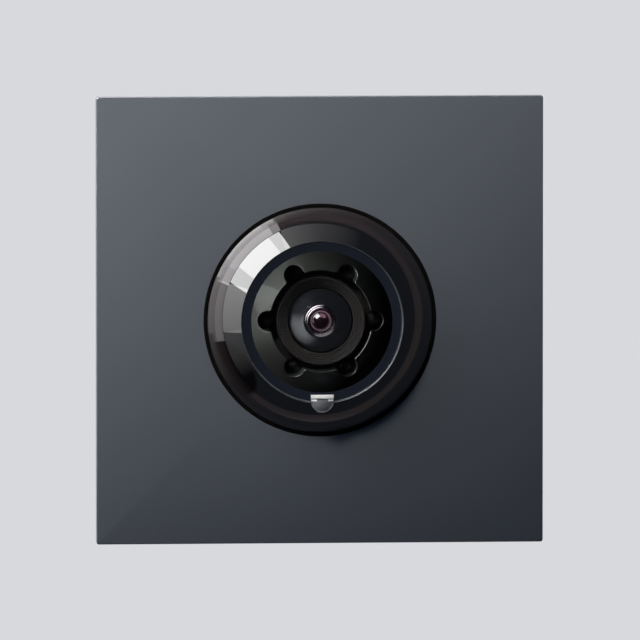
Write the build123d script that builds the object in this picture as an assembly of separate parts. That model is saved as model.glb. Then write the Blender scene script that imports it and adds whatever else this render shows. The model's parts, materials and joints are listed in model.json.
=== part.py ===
from build123d import *
import os
from math import cos, hypot, radians, sin, sqrt

# Camera module of a door station: a square flush plate with a round glossy
# dome, and behind its window a camera ball that pans and tilts by hand.
# Millimetres. +Z is up and the camera looks along -Y. The origin is the centre
# of the wall plane, where the back of the mounting frame lies on the wall.
# "Reach" below means a distance in front of the centre of the camera ball.

# Small gaps and steps that many pieces share
cut_margin = 1.0
seat_gap = 0.05
slip_gap = 0.1
loose_gap = 0.2
weld_overlap = 0.5
edge_break = 0.25
socket_share = 0.5

# Front plate
plate_width = 106.5
plate_thickness = 3.0
plate_corner = 0.6
plate_edge_round = 0.3
plate_stand_off = 10.0
stud_radius = 1.5
stud_length = 5.2
stud_circle_radius = 36.0
nut_width = 5.5
nut_thickness = 2.2
nut_pocket_gap = 0.3

# Dome and its seal
dome_sphere_radius = 33.4
dome_base_radius = 26.9
dome_wall = 2.0
dome_bore_radius = 19.05
dome_edge_chamfer = 0.3
dome_flange_lap = 2.65
dome_flange_thickness = 1.2
dome_shelf_radius = 17.2
dome_shelf_thickness = 1.2
seal_flange_thickness = 0.8
seal_wall = 0.75
seal_recess = 0.1

# Window
window_recess = 0.5
window_rim_thickness = 1.6
window_bulge = 2.3
window_bulge_radius = 16.4
mask_thickness = 0.2
mask_inner_radius = 16.75

# Light sensor in the rim of the dome
guide_width = 5.4
guide_centre_drop = 18.78
guide_top_drop = 17.26
guide_depth = 5.1
guide_lens_rise = 0.7
guide_bar_height = 0.9
guide_bar_proud = 0.45
guide_sunk = 0.15
guide_lens_inset = 0.35
guide_groove = 0.25
guide_boss_wall = 1.3
sensor_chip_side = 3.0
sensor_chip_thickness = 1.1
sensor_board_thickness = 0.8

# Camera ball
ball_radius = 26.0
ball_wall = 2.0
ball_rim_angle = 62.0
ball_opening_radius = 11.9
ball_opening_round = 0.2
led_circle_radius = 12.36
led_pocket_radius = 2.33
led_pocket_blend = 0.6
led_count = 6
led_radius = 1.9
led_tip_reach = 20.4
collar_radius = 17.0
collar_back_reach = 16.5
led_board_thickness = 1.0
led_board_hole_radius = 10.2
ball_flange_thickness = 1.5
ball_tube_radius = 14.0
ball_tube_wall = 1.4
ball_back_reach = -7.5
ball_back_radius = 11.0
ball_back_wall = 1.5
ball_back_bevel = 2.0
tilt_boss_step = 0.2
ribbon_slot_gap = 0.6
ball_screw_count = 3
ball_screw_turn = 30.0
ball_screw_circle_radius = 15.5
ball_screw_radius = 0.8
ball_screw_head_radius = 1.35
ball_screw_grip = 2.4
ball_screw_head_height = 1.0
holder_shelf_width = 0.8

# Lens
shroud_radius = 10.45
shroud_front_reach = 22.4
shroud_bore_radius = 7.75
shroud_step_count = 5
shroud_funnel_depth = 2.1
shroud_neck_radius = 9.9
shroud_lip = 0.25
shroud_slope_share = 0.35
shroud_ledge_height = 0.5
holder_front_reach = 12.0
holder_bore_radius = 6.05
holder_base_reach = 2.8
holder_base_thickness = 1.2
holder_leg_radius = 1.0
holder_leg_x = 6.0
holder_leg_z = 6.6
barrel_head_radius = 7.45
barrel_head_reach = 20.2
barrel_head_length = 5.7
barrel_cone_rise = 1.9
barrel_cone_top_radius = 4.1
barrel_thread_radius = 6.0
barrel_back_reach = 5.5
barrel_bore_radius = 3.0
lens_seat_step = 0.6
retainer_sunk = 0.5
lock_ring_thickness = 1.2
retainer_radius = 3.75
retainer_bore_radius = 2.75
retainer_rise = 0.55
retainer_round = 0.4
front_lens_radius = 2.7
front_lens_rise = 1.5
front_lens_thickness = 2.0
inner_lens_thickness = 1.6
inner_lens_rise = 0.5
inner_lens_reaches = (15.0, 8.5)

# Day and night filter, image sensor
filter_case_width = 20.8
filter_case_height = 10.0
filter_case_thickness = 3.6
filter_cavity_width = 19.8
filter_cavity_height = 8.2
filter_cavity_thickness = 1.6
filter_pitch = 6.2
filter_glass_width = 5.6
filter_glass_height = 4.6
filter_glass_thickness = 0.6
shuttle_height = 7.6
shuttle_thickness = 1.2
shuttle_border = 0.6
coil_radius = 1.6
coil_length = 8.0
bobbin_side = 3.3
bobbin_thickness = 0.6
image_sensor_width = 8.0
image_sensor_height = 7.0
image_sensor_thickness = 1.2
sensor_gap = 0.2
image_board_width = 17.4
image_board_height = 15.2
image_board_thickness = 1.2

# Gimbal and yoke
pin_radius = 1.48
pin_running_gap = 0.05
pin_press_gap = 0.02
pin_sunk = 0.3
pan_pin_grip = 6.0
gimbal_inner_radius = 16.3
gimbal_outer_radius = 18.8
gimbal_width = 5.0
gimbal_flat = 0.2
gimbal_flat_length = 10.0
washer_thickness = 0.6
washer_radius = 2.6
washer_gap = 0.05
yoke_heater_gap = 0.4
yoke_ring_width = 4.2
yoke_thickness = 4.0
yoke_arm_width = 5.0
yoke_lug_radius = 3.4
post_radius = 2.6
yoke_screw_radius = 1.2
yoke_screw_head_radius = 2.2
yoke_screw_grip = 9.0
yoke_screw_head_height = 1.6

# Tray, the chassis behind the plate
tray_set_back = 1.5
tray_corner = 2.0
tray_wall = 2.0
tray_front_wall = 2.5
tray_hole_step = 0.5
tray_ring_margin = 2.0
tray_floor_under_dome = 3.0
wall_seal_thickness = 1.0
heater_width = 1.8
heater_thickness = 0.6
heater_tail_width = 5.0
heater_tail_length = 8.6
heater_tail_angle = 112.5
lead_radius = 0.6
lead_pitch = 2.4
lead_inset = 0.8

# Rear housing and main board
housing_side_gap = 1.5
housing_corner = 10.0
housing_wall = 2.0
housing_back = 32.0
housing_back_round = 1.5
housing_seal_thickness = 0.8
corner_screw_inset = 8.0
corner_post_radius = 3.6
corner_screw_radius = 1.45
corner_screw_head_radius = 2.9
corner_screw_head_height = 2.0
corner_boss_top = 2.0
counterbore_depth = 3.0
screw_gap = 0.1
hole_past_tip = 0.5
screw_tip_clear = 1.0
hex_key_share = 0.55
board_side_gap = 2.0
board_front = 20.0
board_thickness = 1.6
board_corner_clearance = 0.8
pillar_inset = 5.0
pillar_z = 12.0
pillar_radius = 2.6
board_screw_radius = 1.0
board_screw_head_radius = 2.2
board_screw_head_height = 1.4
board_screw_grip = 4.5
cutout_gap = 0.2

# Terminals, link headers and terminator switch at the back
terminal_count = 4
terminal_pitch = 5.08
terminal_height = 12.0
terminal_length = 14.0
terminal_inset = 5.0
terminal_end_wall = 1.2
terminal_edge = 0.4
wire_hole_radius = 1.4
wire_hole_depth = 9.0
wire_hole_drop = 3.0
wire_funnel = 0.5
wire_funnel_depth = 1.0
button_width = 3.4
button_height = 3.0
button_length = 5.0
button_proud = 1.6
button_rise = 2.6
button_gap = 0.15
button_travel = 1.2
button_edge = 0.35
button_slot_share = 0.6
button_slot_width = 0.7
button_slot_depth = 0.5
spring_strip = 0.3
spring_width = 2.2
spring_foot = 2.4
spring_top = 0.8
spring_room = 0.6
header_width = 20.3
header_height = 9.0
header_length = 11.4
header_x = 21.0
header_inset = 6.5
header_wall = 1.2
header_floor = 2.4
header_key_width = 4.0
header_pin_columns = 5
header_pin_rows = 2
header_pin_pitch = 2.54
header_pin_side = 0.64
header_pin_gap = 0.02
header_key_floor = 2.0
header_pin_reach = 6.5
switch_inset = 6.5
switch_width = 9.0
switch_height = 5.0
switch_length = 8.0
switch_slot_depth = 2.0
slider_width = 2.4
slider_height = 2.0
slider_proud = 2.4
slider_travel = 2.0
slider_gap = 0.15

# Parts on the main board
choke_side = 13.0
choke_height = 7.0
choke_corner = 2.5
choke_x = 24.0
choke_z = 2.0
shield_width = 22.0
shield_height = 20.0
shield_depth = 3.0
shield_z = 4.0
shield_wall = 0.4
shield_left = 2.0
chip_side = 12.0
chip_height = 1.4
capacitor_radius = 4.0
capacitor_length = 7.4
capacitor_round = 0.5
capacitor_x = 19.0
capacitor_places = (-10.0, 0.0, 10.0)
ribbon_width = 8.0
ribbon_thickness = 0.3
ribbon_drop = 15.0
ribbon_bend = 2.0
ribbon_plug_height = 4.0
ribbon_plug_depth = 1.2
ribbon_plug_wall = 1.0
ribbon_slot_width = 0.5
ribbon_seated = 1.6

# Mounting frame on the wall and the locking screw
frame_skirt_gap = 0.5
frame_corner = 3.0
frame_rim = 5.75
frame_opening_corner = 12.0
frame_thickness = 2.0
wall_hole_inset = 5.75
wall_hole_radius = 2.25
tab_thickness = 1.5
tab_inset = 2.65
tab_gap = 0.3
lock_tab_width = 12.0
lock_tab_hole_radius = 1.7
hook_tab_width = 10.0
hook_x = 30.0
hook_lip_height = 1.6
hook_lip_thickness = 1.0
hook_gap = 0.2
hook_back_clear = 0.5
lock_screw_radius = 1.48
lock_screw_neck_radius = 1.15
lock_screw_tip_radius = 1.3
lock_screw_depth = 4.6
lock_screw_sunk = 0.35
lock_neck_gap = 0.1
lock_screw_tip_past_tab = 0.3
lock_washer_radius = 2.3
lock_washer_thickness = 0.4
lock_socket_width = 1.5
lock_socket_depth = 1.8
lock_thread_gap = 0.05

# Places worked out from the sizes above
plate_back = -plate_stand_off
plate_front = plate_back - plate_thickness
plate_hole_radius = dome_base_radius + seal_wall + slip_gap
centre_y = plate_front + sqrt(dome_sphere_radius**2 - dome_base_radius**2)
dome_edge_radius = dome_bore_radius + dome_edge_chamfer
dome_edge_y = centre_y - sqrt(dome_sphere_radius**2 - dome_edge_radius**2)
window_front = dome_edge_y + window_recess
window_back = window_front + window_rim_thickness
window_radius = dome_bore_radius - slip_gap
shelf_front = window_back + mask_thickness
shelf_back = shelf_front + dome_shelf_thickness
dome_flange_radius = plate_hole_radius + dome_flange_lap
dome_inner_sphere = dome_sphere_radius - dome_wall
dome_inner_base = dome_base_radius - dome_wall
dome_flange_front = plate_back + seal_flange_thickness
dome_flange_back = dome_flange_front + dome_flange_thickness
tray_ring_back = dome_flange_back + tray_floor_under_dome
tray_inner_y = plate_back + tray_front_wall
tray_hole_radius = dome_inner_base - tray_hole_step
heater_inner_radius = tray_hole_radius + loose_gap
yoke_inner_radius = heater_inner_radius + heater_width + yoke_heater_gap
yoke_outer_radius = yoke_inner_radius + yoke_ring_width
post_circle_radius = yoke_inner_radius + post_radius
tray_ring_radius = post_circle_radius + post_radius + tray_ring_margin
ball_inner_radius = ball_radius - ball_wall
led_board_front_reach = collar_back_reach
led_board_back_reach = led_board_front_reach - led_board_thickness
ball_flange_back_reach = led_board_back_reach - ball_flange_thickness
ball_bore_radius = ball_tube_radius - ball_tube_wall
filter_case_front = holder_base_reach
filter_case_back = filter_case_front - filter_case_thickness
filter_middle = filter_case_front - filter_case_thickness / 2
image_sensor_front = filter_case_back - sensor_gap
image_board_front = image_sensor_front - image_sensor_thickness
image_board_back = image_board_front - image_board_thickness
yoke_arm_end = gimbal_outer_radius - gimbal_flat + washer_thickness + 2 * washer_gap
yoke_front = centre_y - yoke_thickness / 2
yoke_back = centre_y + yoke_thickness / 2
tilt_boss_end = gimbal_inner_radius + gimbal_flat - washer_thickness - 2 * washer_gap
housing_front = tray_inner_y + housing_seal_thickness
housing_inner_back = housing_back - housing_wall
board_back = board_front + board_thickness
tray_width = plate_width - 2 * tray_set_back
skirt_inner = tray_width / 2 - tray_wall
frame_width = 2 * (skirt_inner - frame_skirt_gap)
frame_opening = frame_width - 2 * frame_rim
wall_hole_place = frame_width / 2 - wall_hole_inset
tab_place = frame_width / 2 - tab_inset
housing_width = frame_opening - 2 * housing_side_gap
corner_screw_place = housing_width / 2 - corner_screw_inset
board_width = housing_width - 2 * (housing_wall + board_side_gap)
pillar_x = board_width / 2 - pillar_inset
terminal_drop = (board_width - terminal_height) / 2 - terminal_inset
header_z = (board_width - header_height) / 2 - header_inset
switch_x = (board_width - switch_width) / 2 - switch_inset
switch_z = terminal_drop
lock_screw_y = -lock_screw_depth
terminal_width = terminal_count * terminal_pitch + 2 * terminal_end_wall
terminal_back = board_back + terminal_length


def rod_x(radius, low, high, y=0.0, z=0.0):
    """A round bar along X between two places."""
    bar = Cylinder(radius, high - low)
    return Pos((low + high) / 2, y, z) * Rot(0, 90, 0) * bar


def rod_y(radius, low, high, x=0.0, z=0.0):
    """A round bar along Y between two places."""
    bar = Cylinder(radius, high - low)
    return Pos(x, (low + high) / 2, z) * Rot(90, 0, 0) * bar


def rod_z(radius, low, high, x=0.0, y=0.0):
    """A round bar along Z between two places."""
    return Pos(x, y, (low + high) / 2) * Cylinder(radius, high - low)


def block(x_span, y_span, z_span):
    """A box between pairs of places along X, Y and Z."""
    size = [span[1] - span[0] for span in (x_span, y_span, z_span)]
    middle = [(span[0] + span[1]) / 2 for span in (x_span, y_span, z_span)]
    return Pos(*middle) * Box(*size)


def slab(width, corner, y_low, y_high):
    """A square slab with round corners, lying across the Y axis."""
    face = Plane.XZ.offset(-y_high) * RectangleRounded(width, width, corner)
    return extrude(face, y_high - y_low)


def turned(*edges):
    """A solid turned about the Y axis from a closed outline of radius and Y."""
    return revolve(make_face(Curve() + list(edges)), Axis.Y, 360)


def turned_points(*points):
    """A solid turned about the Y axis from straight lines between points."""
    return turned(Polyline(*points, close=True))


def ring(outer, inner, y_low, y_high):
    """A flat ring about the Y axis."""
    return turned_points((inner, y_low), (outer, y_low), (outer, y_high), (inner, y_high))


def sphere_y(radius, across):
    """The Y of the front of a sphere about the ball's centre, off its axis."""
    return centre_y - sqrt(radius**2 - across**2)


def sphere_arc(radius, across_a, across_b):
    """An arc of the outline of such a sphere between two radii."""
    middle = (across_a + across_b) / 2
    ends = [(a, sphere_y(radius, a)) for a in (across_a, middle, across_b)]
    return ThreePointArc(*ends)


def bulge_arc(edge_radius, edge_y, rise):
    """A shallow arc from an edge up to the Y axis, rising towards the front."""
    arc_radius = (edge_radius**2 + rise**2) / (2 * rise)
    middle = edge_radius / 2
    middle_y = edge_y - rise + arc_radius - sqrt(arc_radius**2 - middle**2)
    return ThreePointArc((edge_radius, edge_y), (middle, middle_y), (0, edge_y - rise))


def at(reach):
    """The Y of a place that lies this far in front of the ball's centre."""
    return centre_y - reach


def around(count, radius, start=0.0):
    """Places spaced evenly on a circle in the XZ plane."""
    steps = [radians(start + 360 * n / count) for n in range(count)]
    return [(radius * cos(a), radius * sin(a)) for a in steps]


def corners(place):
    """The four places at plus and minus this distance in X and Z."""
    return [(x, z) for x in (-place, place) for z in (-place, place)]


def hexagon(width, y_low, y_high, x=0.0, z=0.0):
    """A hexagonal bar along Y, measured across its flats."""
    face = Plane.XZ.offset(-y_high) * Pos(x, z) * RegularPolygon(width / sqrt(3), 6)
    return extrude(face, y_high - y_low)


def screw(place, radius, tip, seat, head_radius, head_height):
    """A screw along Y with a hexagon socket, from its tip to the seat of its head."""
    x, z = place
    outwards = 1 if seat > tip else -1
    head_end = seat + outwards * head_height
    socket_floor = head_end - outwards * head_height * socket_share
    shank = rod_y(radius, min(tip, seat), max(tip, seat), x, z)
    head = rod_y(head_radius, min(seat, head_end), max(seat, head_end), x, z)
    ends = sorted((socket_floor, head_end))
    return shank + head - hexagon(2 * head_radius * hex_key_share, ends[0], ends[1], x, z)


def plate_stud_places():
    return around(4, stud_circle_radius)


def front_plate():
    """The square face plate with its round hole and four welded studs."""
    plate = slab(plate_width, plate_corner, plate_front, plate_back)
    front_edges = plate.edges().group_by(Axis.Y)[0]
    plate = fillet(front_edges, plate_edge_round)
    plate -= rod_y(plate_hole_radius, plate_front, plate_back)
    for x, z in plate_stud_places():
        plate += rod_y(stud_radius, plate_back, plate_back + stud_length, x, z)
    return plate


def plate_nuts():
    """Four nuts that draw the plate onto the tray."""
    nuts = []
    for x, z in plate_stud_places():
        nut = hexagon(nut_width, tray_inner_y, tray_inner_y + nut_thickness, x, z)
        bore = rod_y(stud_radius + screw_gap / 2, tray_inner_y, tray_inner_y + nut_thickness, x, z)
        nuts.append(nut - bore)
    return nuts


def dome_seal():
    """The rubber ring between the dome and the plate, with a foot under the plate."""
    inner = dome_base_radius + seat_gap
    sleeve_radius = inner + seal_wall
    foot_radius = dome_flange_radius
    lip = plate_front + seal_recess
    return turned_points(
        (inner, dome_flange_front),
        (foot_radius, dome_flange_front),
        (foot_radius, plate_back),
        (sleeve_radius, plate_back),
        (sleeve_radius, lip + edge_break),
        (sleeve_radius - edge_break, lip),
        (inner, lip),
    )


def guide_outline(grow):
    """The D outline of the light guide: a flat top and a half-round foot."""
    half = guide_width / 2 + grow
    top = -guide_top_drop + grow
    middle = -guide_centre_drop
    sides = Polyline((-half, middle), (-half, top), (half, top), (half, middle))
    foot = ThreePointArc((half, middle), (0, middle - half), (-half, middle))
    return make_face(Curve() + [sides, foot])


def guide_prism(grow, y_low, y_high):
    """The D outline drawn out along Y."""
    return extrude(Plane.XZ.offset(-y_high) * guide_outline(grow), y_high - y_low)


def guide_front():
    return window_front - guide_sunk


def guide_back():
    return guide_front() + guide_depth


def dome_ring():
    """The glossy domed ring, part of a sphere, with a shelf for the window."""
    edge = dome_edge_radius
    shelf_meets_sphere = sqrt(dome_inner_sphere**2 - (centre_y - shelf_back) ** 2)
    base = dome_base_radius
    inner = dome_inner_base
    body = turned(
        sphere_arc(dome_sphere_radius, base, edge),
        Line((edge, dome_edge_y), (dome_bore_radius, dome_edge_y + dome_edge_chamfer)),
        Polyline(
            (dome_bore_radius, dome_edge_y + dome_edge_chamfer),
            (dome_bore_radius, shelf_front),
            (dome_shelf_radius, shelf_front),
            (dome_shelf_radius, shelf_back),
            (shelf_meets_sphere, shelf_back),
        ),
        sphere_arc(dome_inner_sphere, shelf_meets_sphere, inner),
        Polyline(
            (inner, sphere_y(dome_inner_sphere, inner)),
            (inner, dome_flange_back),
            (dome_flange_radius, dome_flange_back),
            (dome_flange_radius, dome_flange_front),
            (base, dome_flange_front),
            (base, plate_front),
        ),
    )
    boss_half = guide_width / 2 + guide_boss_wall
    boss_foot = -guide_centre_drop - boss_half
    boss_back = guide_back() + sensor_chip_thickness
    boss = block(
        (-boss_half, boss_half),
        (shelf_front, boss_back),
        (boss_foot, -dome_shelf_radius - loose_gap),
    )
    skin = Pos(0, centre_y, 0) * Sphere(dome_sphere_radius - dome_wall / 2)
    body += boss & skin
    return body - guide_prism(slip_gap, dome_edge_y - dome_wall, boss_back)


def window():
    """The clear cover: a flat rim that bulges forward over the camera."""
    bulge = window_bulge_radius
    body = turned(
        Line((window_radius, window_front), (bulge, window_front)),
        bulge_arc(bulge, window_front, window_bulge),
        Line((0, window_front - window_bulge), (0, window_back - window_bulge)),
        bulge_arc(bulge - loose_gap, window_back, window_bulge),
        Line((bulge - loose_gap, window_back), (window_radius, window_back)),
        Line((window_radius, window_back), (window_radius, window_front)),
    )
    return body - guide_prism(slip_gap, window_front - cut_margin, window_back + cut_margin)


def window_mask():
    """The dark printed border on the back of the window's rim."""
    body = ring(window_radius - seat_gap, mask_inner_radius, window_back, shelf_front)
    return body - guide_prism(slip_gap, window_back - cut_margin, shelf_front + cut_margin)


def sensor_light_guide():
    """The clear D-shaped light guide, with a domed lens and a bar on its flat side."""
    front = guide_front()
    body = guide_prism(0.0, front, guide_back())
    half = guide_width / 2
    lens_radius = half - guide_lens_inset
    lens_sphere = (lens_radius**2 + guide_lens_rise**2) / (2 * guide_lens_rise)
    lens_ball = Sphere(lens_sphere)
    lens = Pos(0, front - guide_lens_rise + lens_sphere, -guide_centre_drop) * lens_ball
    reach = block((-half, half), (front - guide_lens_rise, front),
                  (-guide_centre_drop - half, -guide_top_drop - guide_bar_height - guide_groove))
    body += lens & reach
    bar_top = -guide_top_drop
    bar = block((-half, half), (front - guide_bar_proud, front), (bar_top - guide_bar_height, bar_top))
    return body + bar


def light_sensor():
    """The light sensor chip on its small board, behind the light guide."""
    chip_front = guide_back()
    chip_back = chip_front + sensor_chip_thickness
    half = sensor_chip_side / 2
    middle = -guide_centre_drop
    chip = block((-half, half), (chip_front, chip_back), (middle - half, middle + half - loose_gap))
    board_half = guide_width / 2 + guide_boss_wall
    board_span = (middle - board_half, -dome_shelf_radius - loose_gap)
    board_back_y = chip_back + sensor_board_thickness
    board = block((-board_half, board_half), (chip_back, board_back_y), board_span)
    return chip + board


def led_pocket_outline():
    """The ball's opening with six round pockets, their corners blended."""
    outline = Circle(ball_opening_radius)
    for x, z in around(led_count, led_circle_radius):
        outline += Pos(x, z) * Circle(led_pocket_radius)
    return fillet(outline.vertices(), led_pocket_blend)


def on_ball(point):
    """Whether a point lies on the outside of the camera ball."""
    return abs((point - Vector(0, centre_y, 0)).length - ball_radius) < seat_gap / 2


def ball_front_shell():
    """The visible front of the camera ball, with six pockets round its opening."""
    rim = radians(ball_rim_angle)
    rim_out = ball_radius * sin(rim)
    rim_in = ball_inner_radius * sin(rim)
    bore = ball_opening_radius
    collar_meets = sqrt(ball_inner_radius**2 - collar_radius**2)
    body = turned(
        sphere_arc(ball_radius, bore, rim_out),
        Line((rim_out, sphere_y(ball_radius, rim_out)), (rim_in, sphere_y(ball_inner_radius, rim_in))),
        sphere_arc(ball_inner_radius, rim_in, collar_radius),
        Polyline(
            (collar_radius, at(collar_meets)),
            (collar_radius, at(collar_back_reach)),
            (bore, at(collar_back_reach)),
            (bore, sphere_y(ball_radius, bore)),
        ),
    )
    face = Plane.XZ.offset(-at(collar_back_reach)) * led_pocket_outline()
    body -= extrude(face, ball_radius)
    reach = led_circle_radius + led_pocket_radius + cut_margin
    rim = [edge for edge in body.edges() if on_ball(edge @ 0) and on_ball(edge @ 1)
           and hypot((edge @ 0.5).X, (edge @ 0.5).Z) < reach]
    body = fillet(rim, ball_opening_round)
    for x, z in around(ball_screw_count, ball_screw_circle_radius, ball_screw_turn):
        hole_end = collar_back_reach + ball_screw_grip + loose_gap
        body -= rod_y(ball_screw_radius + screw_gap / 2, at(hole_end), at(collar_back_reach), x, z)
    return body


def led_board():
    """The ring-shaped board that carries the six infrared lamps."""
    body = ring(collar_radius - loose_gap, led_board_hole_radius,
                at(led_board_front_reach), at(led_board_back_reach))
    for x, z in around(ball_screw_count, ball_screw_circle_radius, ball_screw_turn):
        body -= rod_y(ball_screw_radius + screw_gap, at(led_board_front_reach),
                      at(led_board_back_reach), x, z)
    return body


def infrared_leds():
    """Six infrared lamps, one in each pocket of the ball."""
    lamps = []
    for x, z in around(led_count, led_circle_radius):
        shoulder = led_tip_reach - led_radius
        body = rod_y(led_radius, at(shoulder), at(led_board_front_reach), x, z)
        tip = Pos(x, at(shoulder), z) * Sphere(led_radius)
        front = rod_y(led_radius + cut_margin, at(led_tip_reach), at(shoulder - slip_gap), x, z)
        lamps.append(body + (tip & front))
    return lamps


def ball_rear_shell():
    """The cup behind the ball's front, with the bosses of the tilt pins."""
    flange_front = led_board_back_reach
    taper_reach = ball_back_reach + (ball_tube_radius - ball_back_radius)
    inner_back = ball_back_reach + ball_back_wall
    shelf = ball_bore_radius - holder_shelf_width
    shelf_reach = holder_base_reach
    body = turned_points(
        (ball_bore_radius, at(flange_front)),
        (collar_radius, at(flange_front)),
        (collar_radius, at(ball_flange_back_reach)),
        (ball_tube_radius, at(ball_flange_back_reach)),
        (ball_tube_radius, at(taper_reach)),
        (ball_back_radius, at(ball_back_reach)),
        (0, at(ball_back_reach)),
        (0, at(inner_back)),
        (shelf - ball_back_bevel, at(inner_back)),
        (shelf, at(inner_back + ball_back_bevel)),
        (shelf, at(shelf_reach)),
        (ball_bore_radius, at(shelf_reach)),
    )
    for side in (-1, 1):
        ends = sorted((side * (ball_bore_radius - weld_overlap), side * tilt_boss_end))
        body += rod_x(washer_radius + tilt_boss_step, ends[0], ends[1], centre_y)
    body -= rod_x(pin_radius + pin_press_gap, -tilt_boss_end, tilt_boss_end, centre_y)
    for x, z in around(ball_screw_count, ball_screw_circle_radius, ball_screw_turn):
        body -= rod_y(ball_screw_radius + screw_gap, at(flange_front),
                      at(ball_flange_back_reach), x, z)
    slot_half = ribbon_width / 2 + ribbon_slot_gap
    slot_height = (-ribbon_slot_gap, ribbon_slot_gap)
    body -= block((-slot_half, slot_half), (at(inner_back), at(ball_back_reach)), slot_height)
    return body


def ball_screws():
    """Three screws that hold the two halves of the ball together."""
    screws = []
    for x, z in around(ball_screw_count, ball_screw_circle_radius, ball_screw_turn):
        head_front = at(ball_flange_back_reach)
        tip = at(collar_back_reach + ball_screw_grip)
        screws.append(screw((x, z), ball_screw_radius, tip, head_front,
                            ball_screw_head_radius, ball_screw_head_height))
    return screws


def lens_shroud():
    """The stepped funnel round the lens."""
    front = shroud_front_reach
    top_radius = shroud_radius - shroud_lip
    step_in = (top_radius - shroud_bore_radius) / shroud_step_count
    step_down = shroud_funnel_depth / shroud_step_count
    points = [(shroud_radius, at(front - shroud_lip)), (top_radius, at(front))]
    for n in range(shroud_step_count):
        radius = top_radius - step_in * n
        reach = front - step_down * n
        points.append((radius - step_in * shroud_slope_share, at(reach - step_down)))
        points.append((radius - step_in, at(reach - step_down)))
    points.append((shroud_bore_radius, at(holder_front_reach)))
    points.append((shroud_neck_radius, at(holder_front_reach)))
    points.append((shroud_neck_radius, at(led_board_front_reach + shroud_ledge_height)))
    points.append((shroud_radius, at(led_board_front_reach + shroud_ledge_height)))
    return turned_points(*points)


def lens_holder():
    """The threaded holder of the lens, on legs that carry the image board."""
    base_front = holder_base_reach + holder_base_thickness
    base_radius = ball_bore_radius - slip_gap
    body = turned_points(
        (holder_bore_radius, at(holder_front_reach)),
        (shroud_neck_radius, at(holder_front_reach)),
        (shroud_neck_radius, at(base_front)),
        (base_radius, at(base_front)),
        (base_radius, at(holder_base_reach)),
        (holder_bore_radius, at(holder_base_reach)),
    )
    for x in (-holder_leg_x, holder_leg_x):
        for z in (-holder_leg_z, holder_leg_z):
            body += rod_y(holder_leg_radius, at(holder_base_reach), at(image_board_front), x, z)
    return body


def lens_barrel():
    """The lens barrel: a coned head in front of a threaded tube."""
    head_back = barrel_head_reach - barrel_head_length
    cone_top = barrel_head_reach + barrel_cone_rise
    seat = cone_top - retainer_sunk
    lens_seat = cone_top - front_lens_thickness
    return turned_points(
        (barrel_bore_radius - lens_seat_step, at(barrel_back_reach)),
        (barrel_thread_radius, at(barrel_back_reach)),
        (barrel_thread_radius, at(head_back)),
        (barrel_head_radius, at(head_back)),
        (barrel_head_radius, at(barrel_head_reach - edge_break)),
        (barrel_head_radius - edge_break, at(barrel_head_reach)),
        (barrel_cone_top_radius, at(cone_top)),
        (retainer_radius + seat_gap, at(cone_top)),
        (retainer_radius + seat_gap, at(seat)),
        (barrel_bore_radius, at(seat)),
        (barrel_bore_radius, at(lens_seat)),
        (barrel_bore_radius - lens_seat_step, at(lens_seat)),
    )


def lens_lock_ring():
    """The thin nut that locks the focus of the lens."""
    return ring(shroud_bore_radius - slip_gap, barrel_thread_radius + seat_gap,
                at(holder_front_reach + lock_ring_thickness), at(holder_front_reach))


def lens_retainer():
    """The bright ring that holds the front lens in the barrel."""
    base = barrel_head_reach + barrel_cone_rise - retainer_sunk
    top = base + retainer_sunk + retainer_rise
    middle = (retainer_radius + retainer_bore_radius) / 2
    shoulder = top - retainer_round
    outer = retainer_radius
    inner = retainer_bore_radius
    return turned(
        Polyline((outer, at(shoulder)), (outer, at(base)), (inner, at(base)), (inner, at(shoulder))),
        ThreePointArc((inner, at(shoulder)), (middle, at(top)), (outer, at(shoulder))),
    )


def front_lens():
    """The bulging front lens."""
    radius = front_lens_radius
    edge = barrel_head_reach + barrel_cone_rise
    back = edge - front_lens_thickness
    return turned(
        bulge_arc(radius, at(edge), front_lens_rise),
        Polyline((0, at(edge + front_lens_rise)), (0, at(back)), (radius, at(back)), (radius, at(edge))),
    )


def inner_lenses():
    """Two more lenses inside the barrel."""
    lenses = []
    for reach in inner_lens_reaches:
        radius = barrel_bore_radius - lens_seat_step - seat_gap
        edge = at(reach)
        lenses.append(turned(
            bulge_arc(radius, edge, inner_lens_rise),
            Polyline((0, edge - inner_lens_rise), (0, edge + inner_lens_thickness),
                     (radius, edge + inner_lens_thickness), (radius, edge)),
        ))
    return lenses


def filter_case():
    """The flat case in which the day and night filter slides."""
    half_w = filter_case_width / 2
    half_h = filter_case_height / 2
    body = block((-half_w, half_w), (at(filter_case_front), at(filter_case_back)), (-half_h, half_h))
    cavity_half = filter_cavity_thickness / 2
    body -= block((-filter_cavity_width / 2, filter_cavity_width / 2),
                  (at(filter_middle + cavity_half), at(filter_middle - cavity_half)),
                  (-filter_cavity_height / 2, filter_cavity_height / 2))
    eye_w = filter_glass_width / 2 + slip_gap
    eye_h = filter_glass_height / 2 + slip_gap
    return body - block((-eye_w, eye_w), (at(filter_case_front), at(filter_case_back)), (-eye_h, eye_h))


def filter_coil():
    """The coil that shifts the filter, on top of its case."""
    base = filter_case_height / 2
    half = coil_length / 2
    body = rod_x(coil_radius, -half, half, at(filter_middle), base + coil_radius)
    for side in (-1, 1):
        ends = sorted((side * half, side * (half + bobbin_thickness)))
        y_span = (at(filter_middle) - bobbin_side / 2, at(filter_middle) + bobbin_side / 2)
        body += block(ends, y_span, (base, base + bobbin_side))
    return body


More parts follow.
